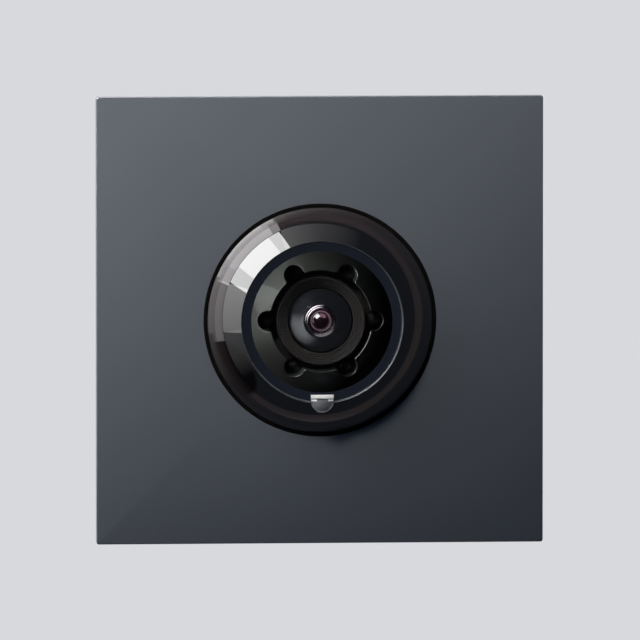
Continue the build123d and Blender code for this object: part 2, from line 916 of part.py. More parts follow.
def filter_shuttle():
    """The slide that carries the two filter glasses."""
    left = -filter_pitch - filter_glass_width / 2 - shuttle_border
    right = filter_glass_width / 2 + shuttle_border
    half_t = shuttle_thickness / 2
    y_span = (at(filter_middle + half_t), at(filter_middle - half_t))
    body = block((left, right), y_span, (-shuttle_height / 2, shuttle_height / 2))
    for x in (0, -filter_pitch):
        eye_w = filter_glass_width / 2
        eye_h = filter_glass_height / 2
        body -= block((x - eye_w, x + eye_w), y_span, (-eye_h, eye_h))
    return body


def filter_glasses():
    """The infrared-cut glass and the clear glass."""
    glasses = []
    for x in (0, -filter_pitch):
        half_w = filter_glass_width / 2 - seat_gap
        half_h = filter_glass_height / 2 - seat_gap
        half_t = filter_glass_thickness / 2
        glasses.append(block((x - half_w, x + half_w),
                             (at(filter_middle + half_t), at(filter_middle - half_t)),
                             (-half_h, half_h)))
    return glasses


def image_sensor():
    """The image sensor behind the filter."""
    half_w = image_sensor_width / 2
    half_h = image_sensor_height / 2
    return block((-half_w, half_w), (at(image_sensor_front), at(image_board_front)), (-half_h, half_h))


def image_board():
    """The small board that carries the image sensor."""
    half_w = image_board_width / 2
    half_h = image_board_height / 2
    return block((-half_w, half_w), (at(image_board_front), at(image_board_back)), (-half_h, half_h))


def gimbal_ring():
    """The ring between the yoke and the ball, with the holes of both pairs of pins."""
    half = gimbal_width / 2
    body = ring(gimbal_outer_radius, gimbal_inner_radius, centre_y - half, centre_y + half)
    flat_out = gimbal_outer_radius - gimbal_flat
    flat_in = gimbal_inner_radius + gimbal_flat
    pad = washer_radius + 2 * loose_gap
    flat_half = gimbal_flat_length / 2
    for side in (-1, 1):
        z_span = sorted((side * flat_out, side * (gimbal_outer_radius + cut_margin)))
        body -= block((-flat_half, flat_half), (centre_y - half, centre_y + half), z_span)
        x_span = sorted((side * (gimbal_inner_radius - 2 * cut_margin), side * flat_in))
        body -= block(x_span, (centre_y - half, centre_y + half), (-pad, pad))
    hole = pin_radius + pin_running_gap
    body -= rod_z(hole, -gimbal_outer_radius, gimbal_outer_radius, 0, centre_y)
    return body - rod_x(hole, -gimbal_outer_radius, gimbal_outer_radius, centre_y)


def tilt_pins():
    """The two pins on which the ball tilts in the gimbal ring."""
    pins = []
    for side in (-1, 1):
        ends = sorted((side * (ball_bore_radius + loose_gap), side * (gimbal_outer_radius - pin_sunk)))
        pins.append(rod_x(pin_radius, ends[0], ends[1], centre_y))
    return pins


def pan_pins():
    """The two pins on which the gimbal ring pans in the yoke."""
    pins = []
    for side in (-1, 1):
        ends = sorted((side * (gimbal_inner_radius + pin_sunk), side * (yoke_arm_end + pan_pin_grip)))
        pins.append(rod_z(pin_radius, ends[0], ends[1], 0, centre_y))
    return pins


def friction_washers():
    """Four washers that make the ball stay where it is set."""
    washers = []
    pan_low = gimbal_outer_radius - gimbal_flat + washer_gap
    tilt_low = tilt_boss_end + washer_gap
    hole = pin_radius + pin_running_gap
    for side in (-1, 1):
        ends = sorted((side * pan_low, side * (pan_low + washer_thickness)))
        disc = rod_z(washer_radius, ends[0], ends[1], 0, centre_y)
        washers.append(disc - rod_z(hole, ends[0], ends[1], 0, centre_y))
        ends = sorted((side * tilt_low, side * (tilt_low + washer_thickness)))
        disc = rod_x(washer_radius, ends[0], ends[1], centre_y)
        washers.append(disc - rod_x(hole, ends[0], ends[1], centre_y))
    return washers


def yoke_post_places():
    return around(4, post_circle_radius, 45)


def yoke():
    """The fixed ring that carries the pan pins, on four posts of the tray."""
    body = ring(yoke_outer_radius, yoke_inner_radius, yoke_front, yoke_back)
    half = yoke_arm_width / 2
    for side in (-1, 1):
        z_span = sorted((side * yoke_arm_end, side * (yoke_inner_radius + cut_margin)))
        body += block((-half, half), (yoke_front, yoke_back), z_span)
    for x, z in yoke_post_places():
        body += rod_y(yoke_lug_radius, yoke_front, yoke_back, x, z)
    body -= rod_y(yoke_inner_radius, yoke_front, yoke_back) & keep_clear()
    for x, z in yoke_post_places():
        body -= rod_y(yoke_screw_radius + screw_gap, yoke_front, yoke_back, x, z)
    depth = yoke_arm_end + pan_pin_grip + loose_gap
    return body - rod_z(pin_radius + pin_press_gap, -depth, depth, 0, centre_y)


def keep_clear():
    """The room that the lugs of the yoke must leave to the ball."""
    wide = yoke_outer_radius
    half = yoke_arm_width / 2
    sides = block((half, wide), (yoke_front, yoke_back), (-wide, wide))
    return sides + block((-wide, -half), (yoke_front, yoke_back), (-wide, wide))


def yoke_screws():
    """Four screws that hold the yoke on its posts."""
    screws = []
    for x, z in yoke_post_places():
        screws.append(screw((x, z), yoke_screw_radius, yoke_back - yoke_screw_grip, yoke_back,
                            yoke_screw_head_radius, yoke_screw_head_height))
    return screws


def heater_ring():
    """The heater behind the dome, with a tail for its leads."""
    inner = heater_inner_radius
    back = tray_ring_back + heater_thickness
    body = ring(inner + heater_width, inner, tray_ring_back, back)
    tail = block((inner + weld_overlap, inner + heater_tail_length), (tray_ring_back, back),
                 (-heater_tail_width / 2, heater_tail_width / 2))
    return body + Rot(0, -heater_tail_angle, 0) * tail


def heater_leads():
    """The two leads from the heater back to the main board."""
    leads = []
    reach = tray_hole_radius + heater_tail_length - lead_inset
    turn = radians(heater_tail_angle)
    for side in (-1, 1):
        aside = side * lead_pitch / 2
        x = reach * cos(turn) - aside * sin(turn)
        z = reach * sin(turn) + aside * cos(turn)
        leads.append(rod_y(lead_radius, tray_ring_back + heater_thickness, board_front, x, z))
    return leads


def module_tray():
    """The chassis: a shallow tray that carries the plate, the dome and the yoke."""
    skirt_back = -wall_seal_thickness
    body = slab(tray_width, tray_corner, plate_back, skirt_back)
    body -= slab(2 * skirt_inner, tray_corner / 2, tray_inner_y, skirt_back)
    body += rod_y(tray_ring_radius, tray_inner_y, tray_ring_back)
    body -= rod_y(tray_hole_radius, plate_back, tray_ring_back)
    body -= rod_y(dome_flange_radius + loose_gap, plate_back, dome_flange_back)
    for x, z in plate_stud_places():
        body -= rod_y(stud_radius + screw_gap, plate_back, tray_inner_y, x, z)
        body -= rod_y(nut_width / sqrt(3) + nut_pocket_gap, tray_inner_y, tray_ring_back, x, z)
    for x, z in yoke_post_places():
        body += rod_y(post_radius, tray_ring_back - weld_overlap, yoke_front, x, z)
        hole_end = yoke_back - yoke_screw_grip - hole_past_tip
        body -= rod_y(yoke_screw_radius + screw_gap / 2, hole_end, yoke_front, x, z)
    for x, z in corners(corner_screw_place):
        body += rod_y(corner_post_radius, tray_inner_y - weld_overlap, corner_boss_top, x, z)
        body -= rod_y(corner_screw_radius + screw_gap / 2, tray_inner_y, corner_boss_top, x, z)
    hook_low = tab_place + hook_gap
    hook_front = tray_inner_y + tab_gap + hook_lip_thickness + hook_gap
    for x in (-hook_x, hook_x):
        half = hook_tab_width / 2 - cut_margin
        body += block((x - half, x + half), (hook_front, -frame_thickness - hook_back_clear),
                      (hook_low, skirt_inner + weld_overlap))
    hole = lock_screw_radius + lock_thread_gap
    return body - rod_z(hole, -tray_width / 2 - cut_margin, -skirt_inner + cut_margin, 0, lock_screw_y)


def wall_seal():
    """The foam strip between the tray's skirt and the wall."""
    outer = slab(tray_width - loose_gap, tray_corner, -wall_seal_thickness, 0)
    return outer - slab(2 * skirt_inner + loose_gap, tray_corner / 2, -wall_seal_thickness, 0)


def housing_seal():
    """The flat seal between the rear housing and the tray."""
    inner = housing_width - 2 * housing_wall
    outer = slab(housing_width, housing_corner, tray_inner_y, housing_front)
    return outer - slab(inner, housing_corner - housing_wall, tray_inner_y, housing_front)


def terminal_spans():
    """The span of the terminal block in X and in Z."""
    half = terminal_width / 2
    return (-half, half), (-terminal_drop - terminal_height / 2, -terminal_drop + terminal_height / 2)


def wider(span, gap):
    return (span[0] - gap, span[1] + gap)


def header_places():
    return [(-header_x, header_z), (header_x, header_z)]


def rear_housing():
    """The box behind the wall plane, with screw posts and board pillars."""
    wall = housing_wall
    body = slab(housing_width, housing_corner, housing_front, housing_back)
    body = fillet(body.edges().group_by(Axis.Y)[-1], housing_back_round)
    body -= slab(housing_width - 2 * wall, housing_corner - wall, housing_front, housing_inner_back)
    post_top = corner_boss_top + loose_gap
    head_seat = housing_back - counterbore_depth
    for x, z in corners(corner_screw_place):
        body += rod_y(corner_post_radius, post_top, housing_inner_back + weld_overlap, x, z)
        body -= rod_y(corner_screw_radius + 2 * screw_gap, corner_boss_top, housing_back, x, z)
        body -= rod_y(corner_screw_head_radius + screw_gap, head_seat, housing_back, x, z)
    for x in (-pillar_x, pillar_x):
        for z in (-pillar_z, pillar_z):
            body += rod_y(pillar_radius, board_back, housing_inner_back + weld_overlap, x, z)
            body -= rod_y(board_screw_radius + screw_gap / 2, board_back,
                          board_back + board_screw_grip + hole_past_tip, x, z)
    through = (housing_inner_back - cut_margin, housing_back + cut_margin)
    terminal_x, terminal_z = terminal_spans()
    body -= block(wider(terminal_x, cutout_gap), through, wider(terminal_z, cutout_gap))
    for x, z in header_places():
        half_w = header_width / 2 + cutout_gap
        half_h = header_height / 2 + cutout_gap
        body -= block((x - half_w, x + half_w), through, (z - half_h, z + half_h))
    half_w = switch_width / 2 + cutout_gap
    half_h = switch_height / 2 + cutout_gap
    body -= block((switch_x - half_w, switch_x + half_w), through, (-switch_z - half_h, -switch_z + half_h))
    return body


def housing_screws():
    """Four long screws that hold the rear housing on the tray."""
    screws = []
    seat = housing_back - counterbore_depth
    for x, z in corners(corner_screw_place):
        screws.append(screw((x, z), corner_screw_radius, tray_inner_y + screw_tip_clear, seat,
                            corner_screw_head_radius, corner_screw_head_height))
    return screws


def main_board():
    """The main circuit board, with the socket of the camera's ribbon."""
    half = board_width / 2
    body = block((-half, half), (board_front, board_back), (-half, half))
    for x, z in corners(corner_screw_place):
        clear = corner_post_radius + board_corner_clearance
        body -= rod_y(clear, board_front, board_back, x, z)
        out_x = half if x > 0 else -half
        out_z = half if z > 0 else -half
        near_x = x - clear if x > 0 else x + clear
        near_z = z - clear if z > 0 else z + clear
        body -= block(sorted((x, out_x)), (board_front, board_back), sorted((near_z, out_z)))
        body -= block(sorted((near_x, out_x)), (board_front, board_back), sorted((z, out_z)))
    for x in (-pillar_x, pillar_x):
        for z in (-pillar_z, pillar_z):
            body -= rod_y(board_screw_radius + screw_gap, board_front, board_back, x, z)
    plug_half = ribbon_width / 2 + ribbon_plug_wall
    plug = block((-plug_half, plug_half), (board_front - ribbon_plug_depth, board_front),
                 (-ribbon_drop - ribbon_plug_height, -ribbon_drop))
    middle = board_front - ribbon_plug_depth / 2
    slot = block((-ribbon_width / 2 - slip_gap, ribbon_width / 2 + slip_gap),
                 (middle - ribbon_slot_width / 2, middle + ribbon_slot_width / 2),
                 (-ribbon_drop - ribbon_plug_height / 2, -ribbon_drop))
    return body + (plug - slot)


def board_screws():
    """Four screws that hold the main board on its pillars."""
    screws = []
    for x in (-pillar_x, pillar_x):
        for z in (-pillar_z, pillar_z):
            screws.append(screw((x, z), board_screw_radius, board_back + board_screw_grip, board_front,
                                board_screw_head_radius, board_screw_head_height))
    return screws


def shield_can():
    """The metal can over the video processor."""
    half_w = shield_width / 2
    half_h = shield_height / 2
    x_span = (-half_w - shield_left, half_w - shield_left)
    z_span = (shield_z - half_h, shield_z + half_h)
    outer = block(x_span, (board_back, board_back + shield_depth), z_span)
    inner = block(wider(x_span, -shield_wall), (board_back, board_back + shield_depth - shield_wall),
                  wider(z_span, -shield_wall))
    return outer - inner


def video_processor():
    """The chip under the shield can."""
    half = chip_side / 2
    x_span = (-half - shield_left, half - shield_left)
    return block(x_span, (board_back, board_back + chip_height), (shield_z - half, shield_z + half))


def bus_choke():
    """The choke that couples the module to the two-wire bus."""
    half = choke_side / 2
    body = block((-choke_x - half, -choke_x + half), (board_back, board_back + choke_height),
                 (choke_z - half, choke_z + half))
    return fillet(body.edges().filter_by(Axis.Y), choke_corner)


def capacitors():
    """Three round capacitors in a row."""
    cans = []
    for z in capacitor_places:
        can = rod_y(capacitor_radius, board_back, board_back + capacitor_length, capacitor_x, z)
        cans.append(fillet(can.edges().group_by(Axis.Y)[-1], capacitor_round))
    return cans


def camera_ribbon():
    """The flat ribbon with a slack bend from the image board to the main board."""
    half = ribbon_thickness / 2
    run = board_front - ribbon_plug_depth / 2
    turn_y = (at(ball_back_reach) + run) / 2 + ribbon_thickness
    slant_top = -ribbon_drop + 2 * ribbon_bend
    path = FilletPolyline(
        (0, at(image_board_back), 0),
        (0, turn_y, 0),
        (0, turn_y, slant_top),
        (0, run, slant_top - (run - turn_y)),
        (0, run, -ribbon_drop - ribbon_seated),
        radius=(ribbon_bend, ribbon_bend, ribbon_bend / 2),
    )
    strip = Plane((0, at(image_board_back), 0), x_dir=(1, 0, 0), z_dir=(0, 1, 0))
    return sweep(strip * Rectangle(ribbon_width, 2 * half), path=path)


def button_places():
    first = -(terminal_count - 1) / 2
    return [(first + n) * terminal_pitch for n in range(terminal_count)]


def button_front():
    return terminal_back + button_proud - button_length


def spring_floor():
    return button_front() - button_travel - spring_room


def terminal_block():
    """The four-pole terminal block with its wire holes and button shafts."""
    x_span, z_span = terminal_spans()
    body = block(x_span, (board_back, terminal_back), z_span)
    body = chamfer(body.edges().group_by(Axis.Y)[-1], terminal_edge)
    floor = spring_floor()
    for x in button_places():
        z = -terminal_drop - wire_hole_drop
        body -= rod_y(wire_hole_radius, terminal_back - wire_hole_depth, terminal_back, x, z)
        funnel = Pos(x, terminal_back - wire_funnel_depth / 2, z) * Rot(-90, 0, 0)
        body -= funnel * Cone(wire_hole_radius, wire_hole_radius + wire_funnel, wire_funnel_depth)
        half_w = button_width / 2 + button_gap
        half_h = button_height / 2 + button_gap
        middle = -terminal_drop + button_rise
        body -= block((x - half_w, x + half_w), (floor, terminal_back), (middle - half_h, middle + half_h))
    return body


def terminal_button(x):
    """One release button of the terminal block."""
    half_w = button_width / 2
    half_h = button_height / 2
    middle = -terminal_drop + button_rise
    front = button_front()
    back = front + button_length
    body = block((x - half_w, x + half_w), (front, back), (middle - half_h, middle + half_h))
    body = chamfer(body.edges().group_by(Axis.Y)[-1], button_edge)
    slot_half = half_w * button_slot_share
    slot_rise = button_slot_width / 2
    slot = block((x - slot_half, x + slot_half), (back - button_slot_depth, back),
                 (middle - slot_rise, middle + slot_rise))
    return body - slot


def terminal_springs():
    """Four bent spring strips, one under each button."""
    springs = []
    top = button_front()
    floor = spring_floor()
    middle = -terminal_drop + button_rise
    half = spring_foot / 2
    for x in button_places():
        outline = Polyline(
            (floor, middle - half),
            (floor + spring_strip, middle - half),
            (floor + spring_strip, middle + half - 2 * spring_strip),
            (top, middle - spring_top / 2),
            (top, middle + spring_top / 2),
            (floor + spring_strip, middle + half),
            (floor, middle + half),
            close=True,
        )
        face = Plane((x - spring_width / 2, 0, 0), x_dir=(0, 1, 0), z_dir=(1, 0, 0)) * make_face(outline)
        springs.append(extrude(face, spring_width))
    return springs


def link_headers():
    """Two box headers for the ribbon cables to the neighbouring modules."""
    headers = []
    floor = board_back + header_floor
    back = board_back + header_length
    for x, z in header_places():
        half_w = header_width / 2
        half_h = header_height / 2
        body = block((x - half_w, x + half_w), (board_back, back), (z - half_h, z + half_h))
        inner_w = half_w - header_wall
        inner_h = half_h - header_wall
        body -= block((x - inner_w, x + inner_w), (floor, back), (z - inner_h, z + inner_h))
        key = header_key_width / 2
        body -= block((x - key, x + key), (floor + header_key_floor, back), (z - half_h, z - inner_h))
        for px, pz in pin_grid(x, z):
            half = header_pin_side / 2 + header_pin_gap
            body -= block((px - half, px + half), (board_back, floor), (pz - half, pz + half))
        headers.append(body)
    return headers


def pin_grid(x, z):
    """The places of the pins of one header."""
    columns = [(n - (header_pin_columns - 1) / 2) * header_pin_pitch for n in range(header_pin_columns)]
    rows = [(n - (header_pin_rows - 1) / 2) * header_pin_pitch for n in range(header_pin_rows)]
    return [(x + dx, z + dz) for dx in columns for dz in rows]


def link_header_pins():
    """The square pins of both headers."""
    pins = []
    half = header_pin_side / 2
    end = board_back + header_floor + header_pin_reach
    for x, z in header_places():
        for px, pz in pin_grid(x, z):
            pins.append(block((px - half, px + half), (board_back, end), (pz - half, pz + half)))
    return pins


def switch_back():
    return board_back + switch_length


def terminator_switch():
    """The body of the slide switch that ends the bus."""
    half_w = switch_width / 2
    half_h = switch_height / 2
    back = switch_back()
    body = block((switch_x - half_w, switch_x + half_w), (board_back, back),
                 (-switch_z - half_h, -switch_z + half_h))
    slot_half = slider_width / 2 + slider_travel / 2 + slider_gap
    z_half = slider_height / 2 + slider_gap
    return body - block((switch_x - slot_half, switch_x + slot_half), (back - switch_slot_depth, back),
                        (-switch_z - z_half, -switch_z + z_half))


def terminator_slider():
    """The knob of the slide switch, at the left end of its slot."""
    left = switch_x - slider_width / 2 - slider_travel / 2
    half_h = slider_height / 2
    back = switch_back()
    return block((left, left + slider_width), (back - switch_slot_depth + loose_gap, back + slider_proud),
                 (-switch_z - half_h, -switch_z + half_h))


def mounting_frame():
    """The steel frame on the wall, with hook tabs above and a lock tab below."""
    body = slab(frame_width, frame_corner, -frame_thickness, 0)
    body -= slab(frame_opening, frame_opening_corner, -frame_thickness, 0)
    for x, z in corners(wall_hole_place):
        body -= rod_y(wall_hole_radius, -frame_thickness, 0, x, z)
    tab_front = tray_inner_y + tab_gap
    tab_span = (tab_place - tab_thickness, tab_place)
    for x in (-hook_x, hook_x):
        half = hook_tab_width / 2
        body += block((x - half, x + half), (tab_front, -frame_thickness / 2), tab_span)
        body += block((x - half, x + half), (tab_front, tab_front + hook_lip_thickness),
                      (tab_place - weld_overlap, tab_place + hook_lip_height))
    half = lock_tab_width / 2
    low_span = (-tab_place, -tab_place + tab_thickness)
    body += block((-half, half), (tab_front, -frame_thickness / 2), low_span)
    return body - rod_z(lock_tab_hole_radius, low_span[0], low_span[1], 0, lock_screw_y)


def lock_neck_span():
    """The span in Z of the neck that the captive washer sits in."""
    high = -tab_place - slip_gap
    return high - lock_washer_thickness - lock_neck_gap, high


def lock_screw():
    """The captive grub screw that locks the module on the frame from below."""
    bottom = -tray_width / 2 + lock_screw_sunk
    neck_low, neck_high = lock_neck_span()
    tip = -tab_place + tab_thickness + lock_screw_tip_past_tab
    body = rod_z(lock_screw_radius, bottom, neck_low, 0, lock_screw_y)
    body += rod_z(lock_screw_neck_radius, neck_low, neck_high, 0, lock_screw_y)
    body += rod_z(lock_screw_tip_radius, neck_high, tip, 0, lock_screw_y)
    socket = Plane((0, lock_screw_y, bottom), x_dir=(1, 0, 0), z_dir=(0, 0, 1))
    key = extrude(socket * RegularPolygon(lock_socket_width / sqrt(3), 6), lock_socket_depth)
    return body - key


def lock_washer():
    """The washer in the neck of the locking screw, which keeps it from falling out."""
    neck_low, _ = lock_neck_span()
    low = neck_low + lock_neck_gap / 2
    high = low + lock_washer_thickness
    disc = rod_z(lock_washer_radius, low, high, 0, lock_screw_y)
    return disc - rod_z(lock_screw_neck_radius + seat_gap, low, high, 0, lock_screw_y)


def all_parts():
    """Every sub-part by name. A list holds separate solids of one sub-part."""
    parts = {
        "front_plate": front_plate(),
        "plate_nuts": plate_nuts(),
        "module_tray": module_tray(),
        "wall_seal": wall_seal(),
        "dome_seal": dome_seal(),
        "dome_ring": dome_ring(),
        "window": window(),
        "window_mask": window_mask(),
        "sensor_light_guide": sensor_light_guide(),
        "light_sensor": light_sensor(),
        "heater_ring": heater_ring(),
        "heater_leads": heater_leads(),
        "yoke": yoke(),
        "yoke_screws": yoke_screws(),
        "pan_pins": pan_pins(),
        "housing_seal": housing_seal(),
        "rear_housing": rear_housing(),
        "housing_screws": housing_screws(),
        "main_board": main_board(),
        "board_screws": board_screws(),
        "shield_can": shield_can(),
        "video_processor": video_processor(),
        "bus_choke": bus_choke(),
        "capacitors": capacitors(),
        "camera_ribbon": camera_ribbon(),
        "terminal_block": terminal_block(),
        "terminal_springs": terminal_springs(),
        "link_headers": link_headers(),
        "link_header_pins": link_header_pins(),
        "terminator_switch": terminator_switch(),
        "terminator_slider": terminator_slider(),
        "mounting_frame": mounting_frame(),
        "lock_screw": lock_screw(),
        "lock_washer": lock_washer(),
        "gimbal_ring": gimbal_ring(),
        "friction_washers": friction_washers(),
        "tilt_pins": tilt_pins(),
        "ball_front_shell": ball_front_shell(),
        "ball_rear_shell": ball_rear_shell(),
        "ball_screws": ball_screws(),
        "led_board": led_board(),
        "infrared_leds": infrared_leds(),
        "lens_shroud": lens_shroud(),
        "lens_holder": lens_holder(),
        "lens_barrel": lens_barrel(),
        "lens_lock_ring": lens_lock_ring(),
        "lens_retainer": lens_retainer(),
        "front_lens": front_lens(),
        "inner_lenses": inner_lenses(),
        "filter_case": filter_case(),
        "filter_coil": filter_coil(),
        "filter_shuttle": filter_shuttle(),
        "filter_glasses": filter_glasses(),
        "image_sensor": image_sensor(),
        "image_board": image_board(),
    }
    for n, x in enumerate(button_places()):
        parts[f"terminal_button_{n + 1}"] = terminal_button(x)
    return parts


os.makedirs("parts", exist_ok=True)
for name, shape in all_parts().items():
    solids = shape if isinstance(shape, list) else [shape]
    whole = Compound(children=[s for piece in solids for s in piece.solids()])
    export_step(whole, f"parts/{name}.step")
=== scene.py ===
import json
from math import asin, cos, pi, radians, sin, sqrt, tan

import bpy
from mathutils import Matrix, Vector


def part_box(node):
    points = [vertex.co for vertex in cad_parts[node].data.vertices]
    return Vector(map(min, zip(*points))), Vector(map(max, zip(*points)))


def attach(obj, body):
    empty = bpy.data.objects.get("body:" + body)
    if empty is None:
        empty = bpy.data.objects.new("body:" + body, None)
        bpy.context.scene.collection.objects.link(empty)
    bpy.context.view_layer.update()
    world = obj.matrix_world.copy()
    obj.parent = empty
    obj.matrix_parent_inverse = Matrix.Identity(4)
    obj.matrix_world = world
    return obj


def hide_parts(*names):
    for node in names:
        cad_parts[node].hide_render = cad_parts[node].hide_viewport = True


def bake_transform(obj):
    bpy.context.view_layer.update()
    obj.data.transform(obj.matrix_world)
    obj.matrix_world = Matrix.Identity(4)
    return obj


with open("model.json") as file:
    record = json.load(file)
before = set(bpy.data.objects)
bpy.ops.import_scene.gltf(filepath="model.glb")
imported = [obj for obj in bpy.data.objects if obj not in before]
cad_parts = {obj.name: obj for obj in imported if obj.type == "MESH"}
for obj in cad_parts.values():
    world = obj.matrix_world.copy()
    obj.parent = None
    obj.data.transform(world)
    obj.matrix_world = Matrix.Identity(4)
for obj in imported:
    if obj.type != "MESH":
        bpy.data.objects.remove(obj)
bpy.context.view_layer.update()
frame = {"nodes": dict(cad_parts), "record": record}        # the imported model, in metres; its nodes stay where they are
print("frame loaded:", len(frame["nodes"]), "nodes")

nodes = frame["nodes"]
bodyOf = {node: body for body, held in frame["record"]["behaviour"]["bodies"].items() for node in held}
slotOf = {node: thing.data.materials[0].name for node, thing in nodes.items()}
mm = 0.001

# places that many pieces share, in mm
places = {"domeSphere": 33.4, "domeBase": 26.9, "domeEdge": 19.35, "plateBack": -10.0, "coverRecess": 0.5,
          "coverRim": 1.6, "borderThick": 0.2, "guideMiddle": -18.78, "guideProud": 0.15, "guideDepth": 5.1}
domeSphere, domeBase, domeEdge = places["domeSphere"], places["domeBase"], places["domeEdge"]
plateBack, guideMiddle = places["plateBack"], places["guideMiddle"]
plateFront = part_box("front_plate")[0].y / mm
ballY = plateFront + sqrt(domeSphere ** 2 - domeBase ** 2)       # the ball turns about the dome's own centre
edgeY = ballY - sqrt(domeSphere ** 2 - domeEdge ** 2)
windowFront = edgeY + places["coverRecess"]
windowBack = windowFront + places["coverRim"]
shelfFront = windowBack + places["borderThick"]
guideFront = windowFront - places["guideProud"]
guideBack = guideFront + places["guideDepth"]
near = 0.01              # closer than this counts as the same place
weld = 0.0005            # doubles closer than this are merged after a cut


def at(reach):           # y of a place that far in front of the ball's centre
    return ballY - reach


def hexColour(text):     # an sRGB hex value, as linear light
    values = [int(text[n:n + 2], 16) / 255 for n in (0, 2, 4)]
    return [v / 12.92 if v <= 0.04045 else ((v + 0.055) / 1.055) ** 2.4 for v in values] + [1.0]


def addNode(tree, kind, inputs=None, **settings):
    node = tree.nodes.new("ShaderNode" + kind)
    for name, value in settings.items():
        setattr(node, name, value)
    for socket, value in (inputs or {}).items():
        if isinstance(value, bpy.types.NodeSocket):
            tree.links.new(value, node.inputs[socket])
        else:
            node.inputs[socket].default_value = value
    return node


def startMaterial(name, colour, sockets):
    material = bpy.data.materials.new(name)
    material.use_nodes = True
    tree = material.node_tree
    shader = tree.nodes["Principled BSDF"]
    shader.inputs["Base Color"].default_value = hexColour(colour)
    for socket, value in sockets.items():
        shader.inputs[socket].default_value = value
    place = addNode(tree, "TexCoord").outputs["Object"]
    return material, tree, shader, place


def addGrain(tree, shader, place, grain, depth, spread=0.0):
    # grain and depth in mm; spread is how far the roughness wanders, in patches 25 grains wide
    noise = addNode(tree, "TexNoise", {"Vector": place, "Scale": 1 / (grain * mm), "Detail": 3.0})
    bump = addNode(tree, "Bump", {"Height": noise.outputs["Fac"], "Distance": depth * mm})
    tree.links.new(bump.outputs["Normal"], shader.inputs["Normal"])
    if spread:
        level = shader.inputs["Roughness"].default_value
        patch = addNode(tree, "TexNoise", {"Vector": place, "Scale": 1 / (25 * grain * mm), "Detail": 2.0})
        rough = addNode(tree, "MapRange", {"Value": patch.outputs["Fac"], "From Min": 0.3, "From Max": 0.7,
                                           "To Min": level - spread, "To Max": level + spread})
        tree.links.new(rough.outputs["Result"], shader.inputs["Roughness"])
    return noise


def addShade(tree, shader, factor, colour):
    # the base colour, mixed already or not, drifts to another one where the factor is high
    socket = shader.inputs["Base Color"]
    base = socket.links[0].from_socket if socket.links else list(socket.default_value)
    mix = addNode(tree, "Mix", {0: factor, 6: base, 7: hexColour(colour)}, data_type="RGBA")
    tree.links.new(mix.outputs[2], socket)


def axisDistance(tree, place):
    # distance from the dome's axis, in mm
    flat = addNode(tree, "Mapping", {"Vector": place, "Scale": (1 / mm, 0, 1 / mm)})
    return addNode(tree, "VectorMath", {0: flat.outputs["Vector"]}, operation="LENGTH").outputs["Value"]


finishes = {}

# plain moulded plastics: colour, roughness, grain and depth in mm, second tone of the drift
# the pits of the ball are drawn coarser than they are, so that they show
mouldings = {
    "ball_black": ("polycarbonateSparkErodedBlack", "0C0C0C", 0.38, 0.3, 0.012, "121211"),    # satin, fine pits
    "tray_black": ("absTrayBlack", "1B1C1E", 0.5, 0.25, 0.008, "222326"),                     # even satin
    "housing_grey": ("absHousingGrey", "2A2C2F", 0.55, 0.3, 0.012, "33353A"),                 # nearly matt, faint grain
    "foam_seal": ("closedCellFoamBlack", "17181A", 0.85, 0.35, 0.05, "222326"),               # open dull cells
    "washer_acetal": ("acetalNatural", "D8D4C8", 0.35, 0.4, 0.003, "CBC6B8"),                 # waxy off-white
    "gimbal_plastic": ("glassFilledNylonBlack", "222325", 0.45, 0.2, 0.006, "2C2D30"),        # faint fibre sheen
    "chip_black": ("epoxyMouldingCompound", "131315", 0.6, 0.08, 0.004, "1C1C1F"),            # dull, very fine grain
    "choke_ferrite": ("ferriteCoated", "2B2A2A", 0.48, 0.3, 0.01, "3A3938"),                  # dark, thinly lacquered
    "lead_sleeve": ("pvcSleeveRed", "8E1B16", 0.4, 0.3, 0.004, "7A1712"),                     # soft gloss
    "terminal_grey": ("nylonTerminalGrey", "8C9092", 0.42, 0.22, 0.006, "9A9EA0"),            # satin
    "button_orange": ("nylonButtonOrange", "D0661E", 0.4, 0.22, 0.005, "DB7530"),             # satin, strong colour
    "header_black": ("nylonHeaderBlack", "101011", 0.4, 0.18, 0.005, "19191B"),               # satin, nearly black
    "slider_white": ("acetalWhite", "E4E2DA", 0.35, 0.3, 0.003, "D8D6CC"),                    # waxy white
}
for slot, (name, colour, roughness, grain, depth, second) in mouldings.items():
    material, tree, shader, place = startMaterial(name, colour, {"Roughness": roughness, "IOR": 1.52})
    addGrain(tree, shader, place, grain, depth, spread=0.02)
    drift = addNode(tree, "TexNoise", {"Vector": place, "Scale": 1 / (9 * mm), "Detail": 3.0})
    addShade(tree, shader, drift.outputs["Fac"], second)
    finishes[slot] = material

# silicone rubber: nearly black, dull fine skin with hardly any shine
material, tree, shader, place = startMaterial(
    "siliconeRubberBlack", "020202", {"Roughness": 0.85, "IOR": 1.41, "Specular IOR Level": 0.12})
skin = addGrain(tree, shader, place, 0.12, 0.002, 0.05)
addShade(tree, shader, skin.outputs["Fac"], "050505")
finishes["black_rubber"] = material

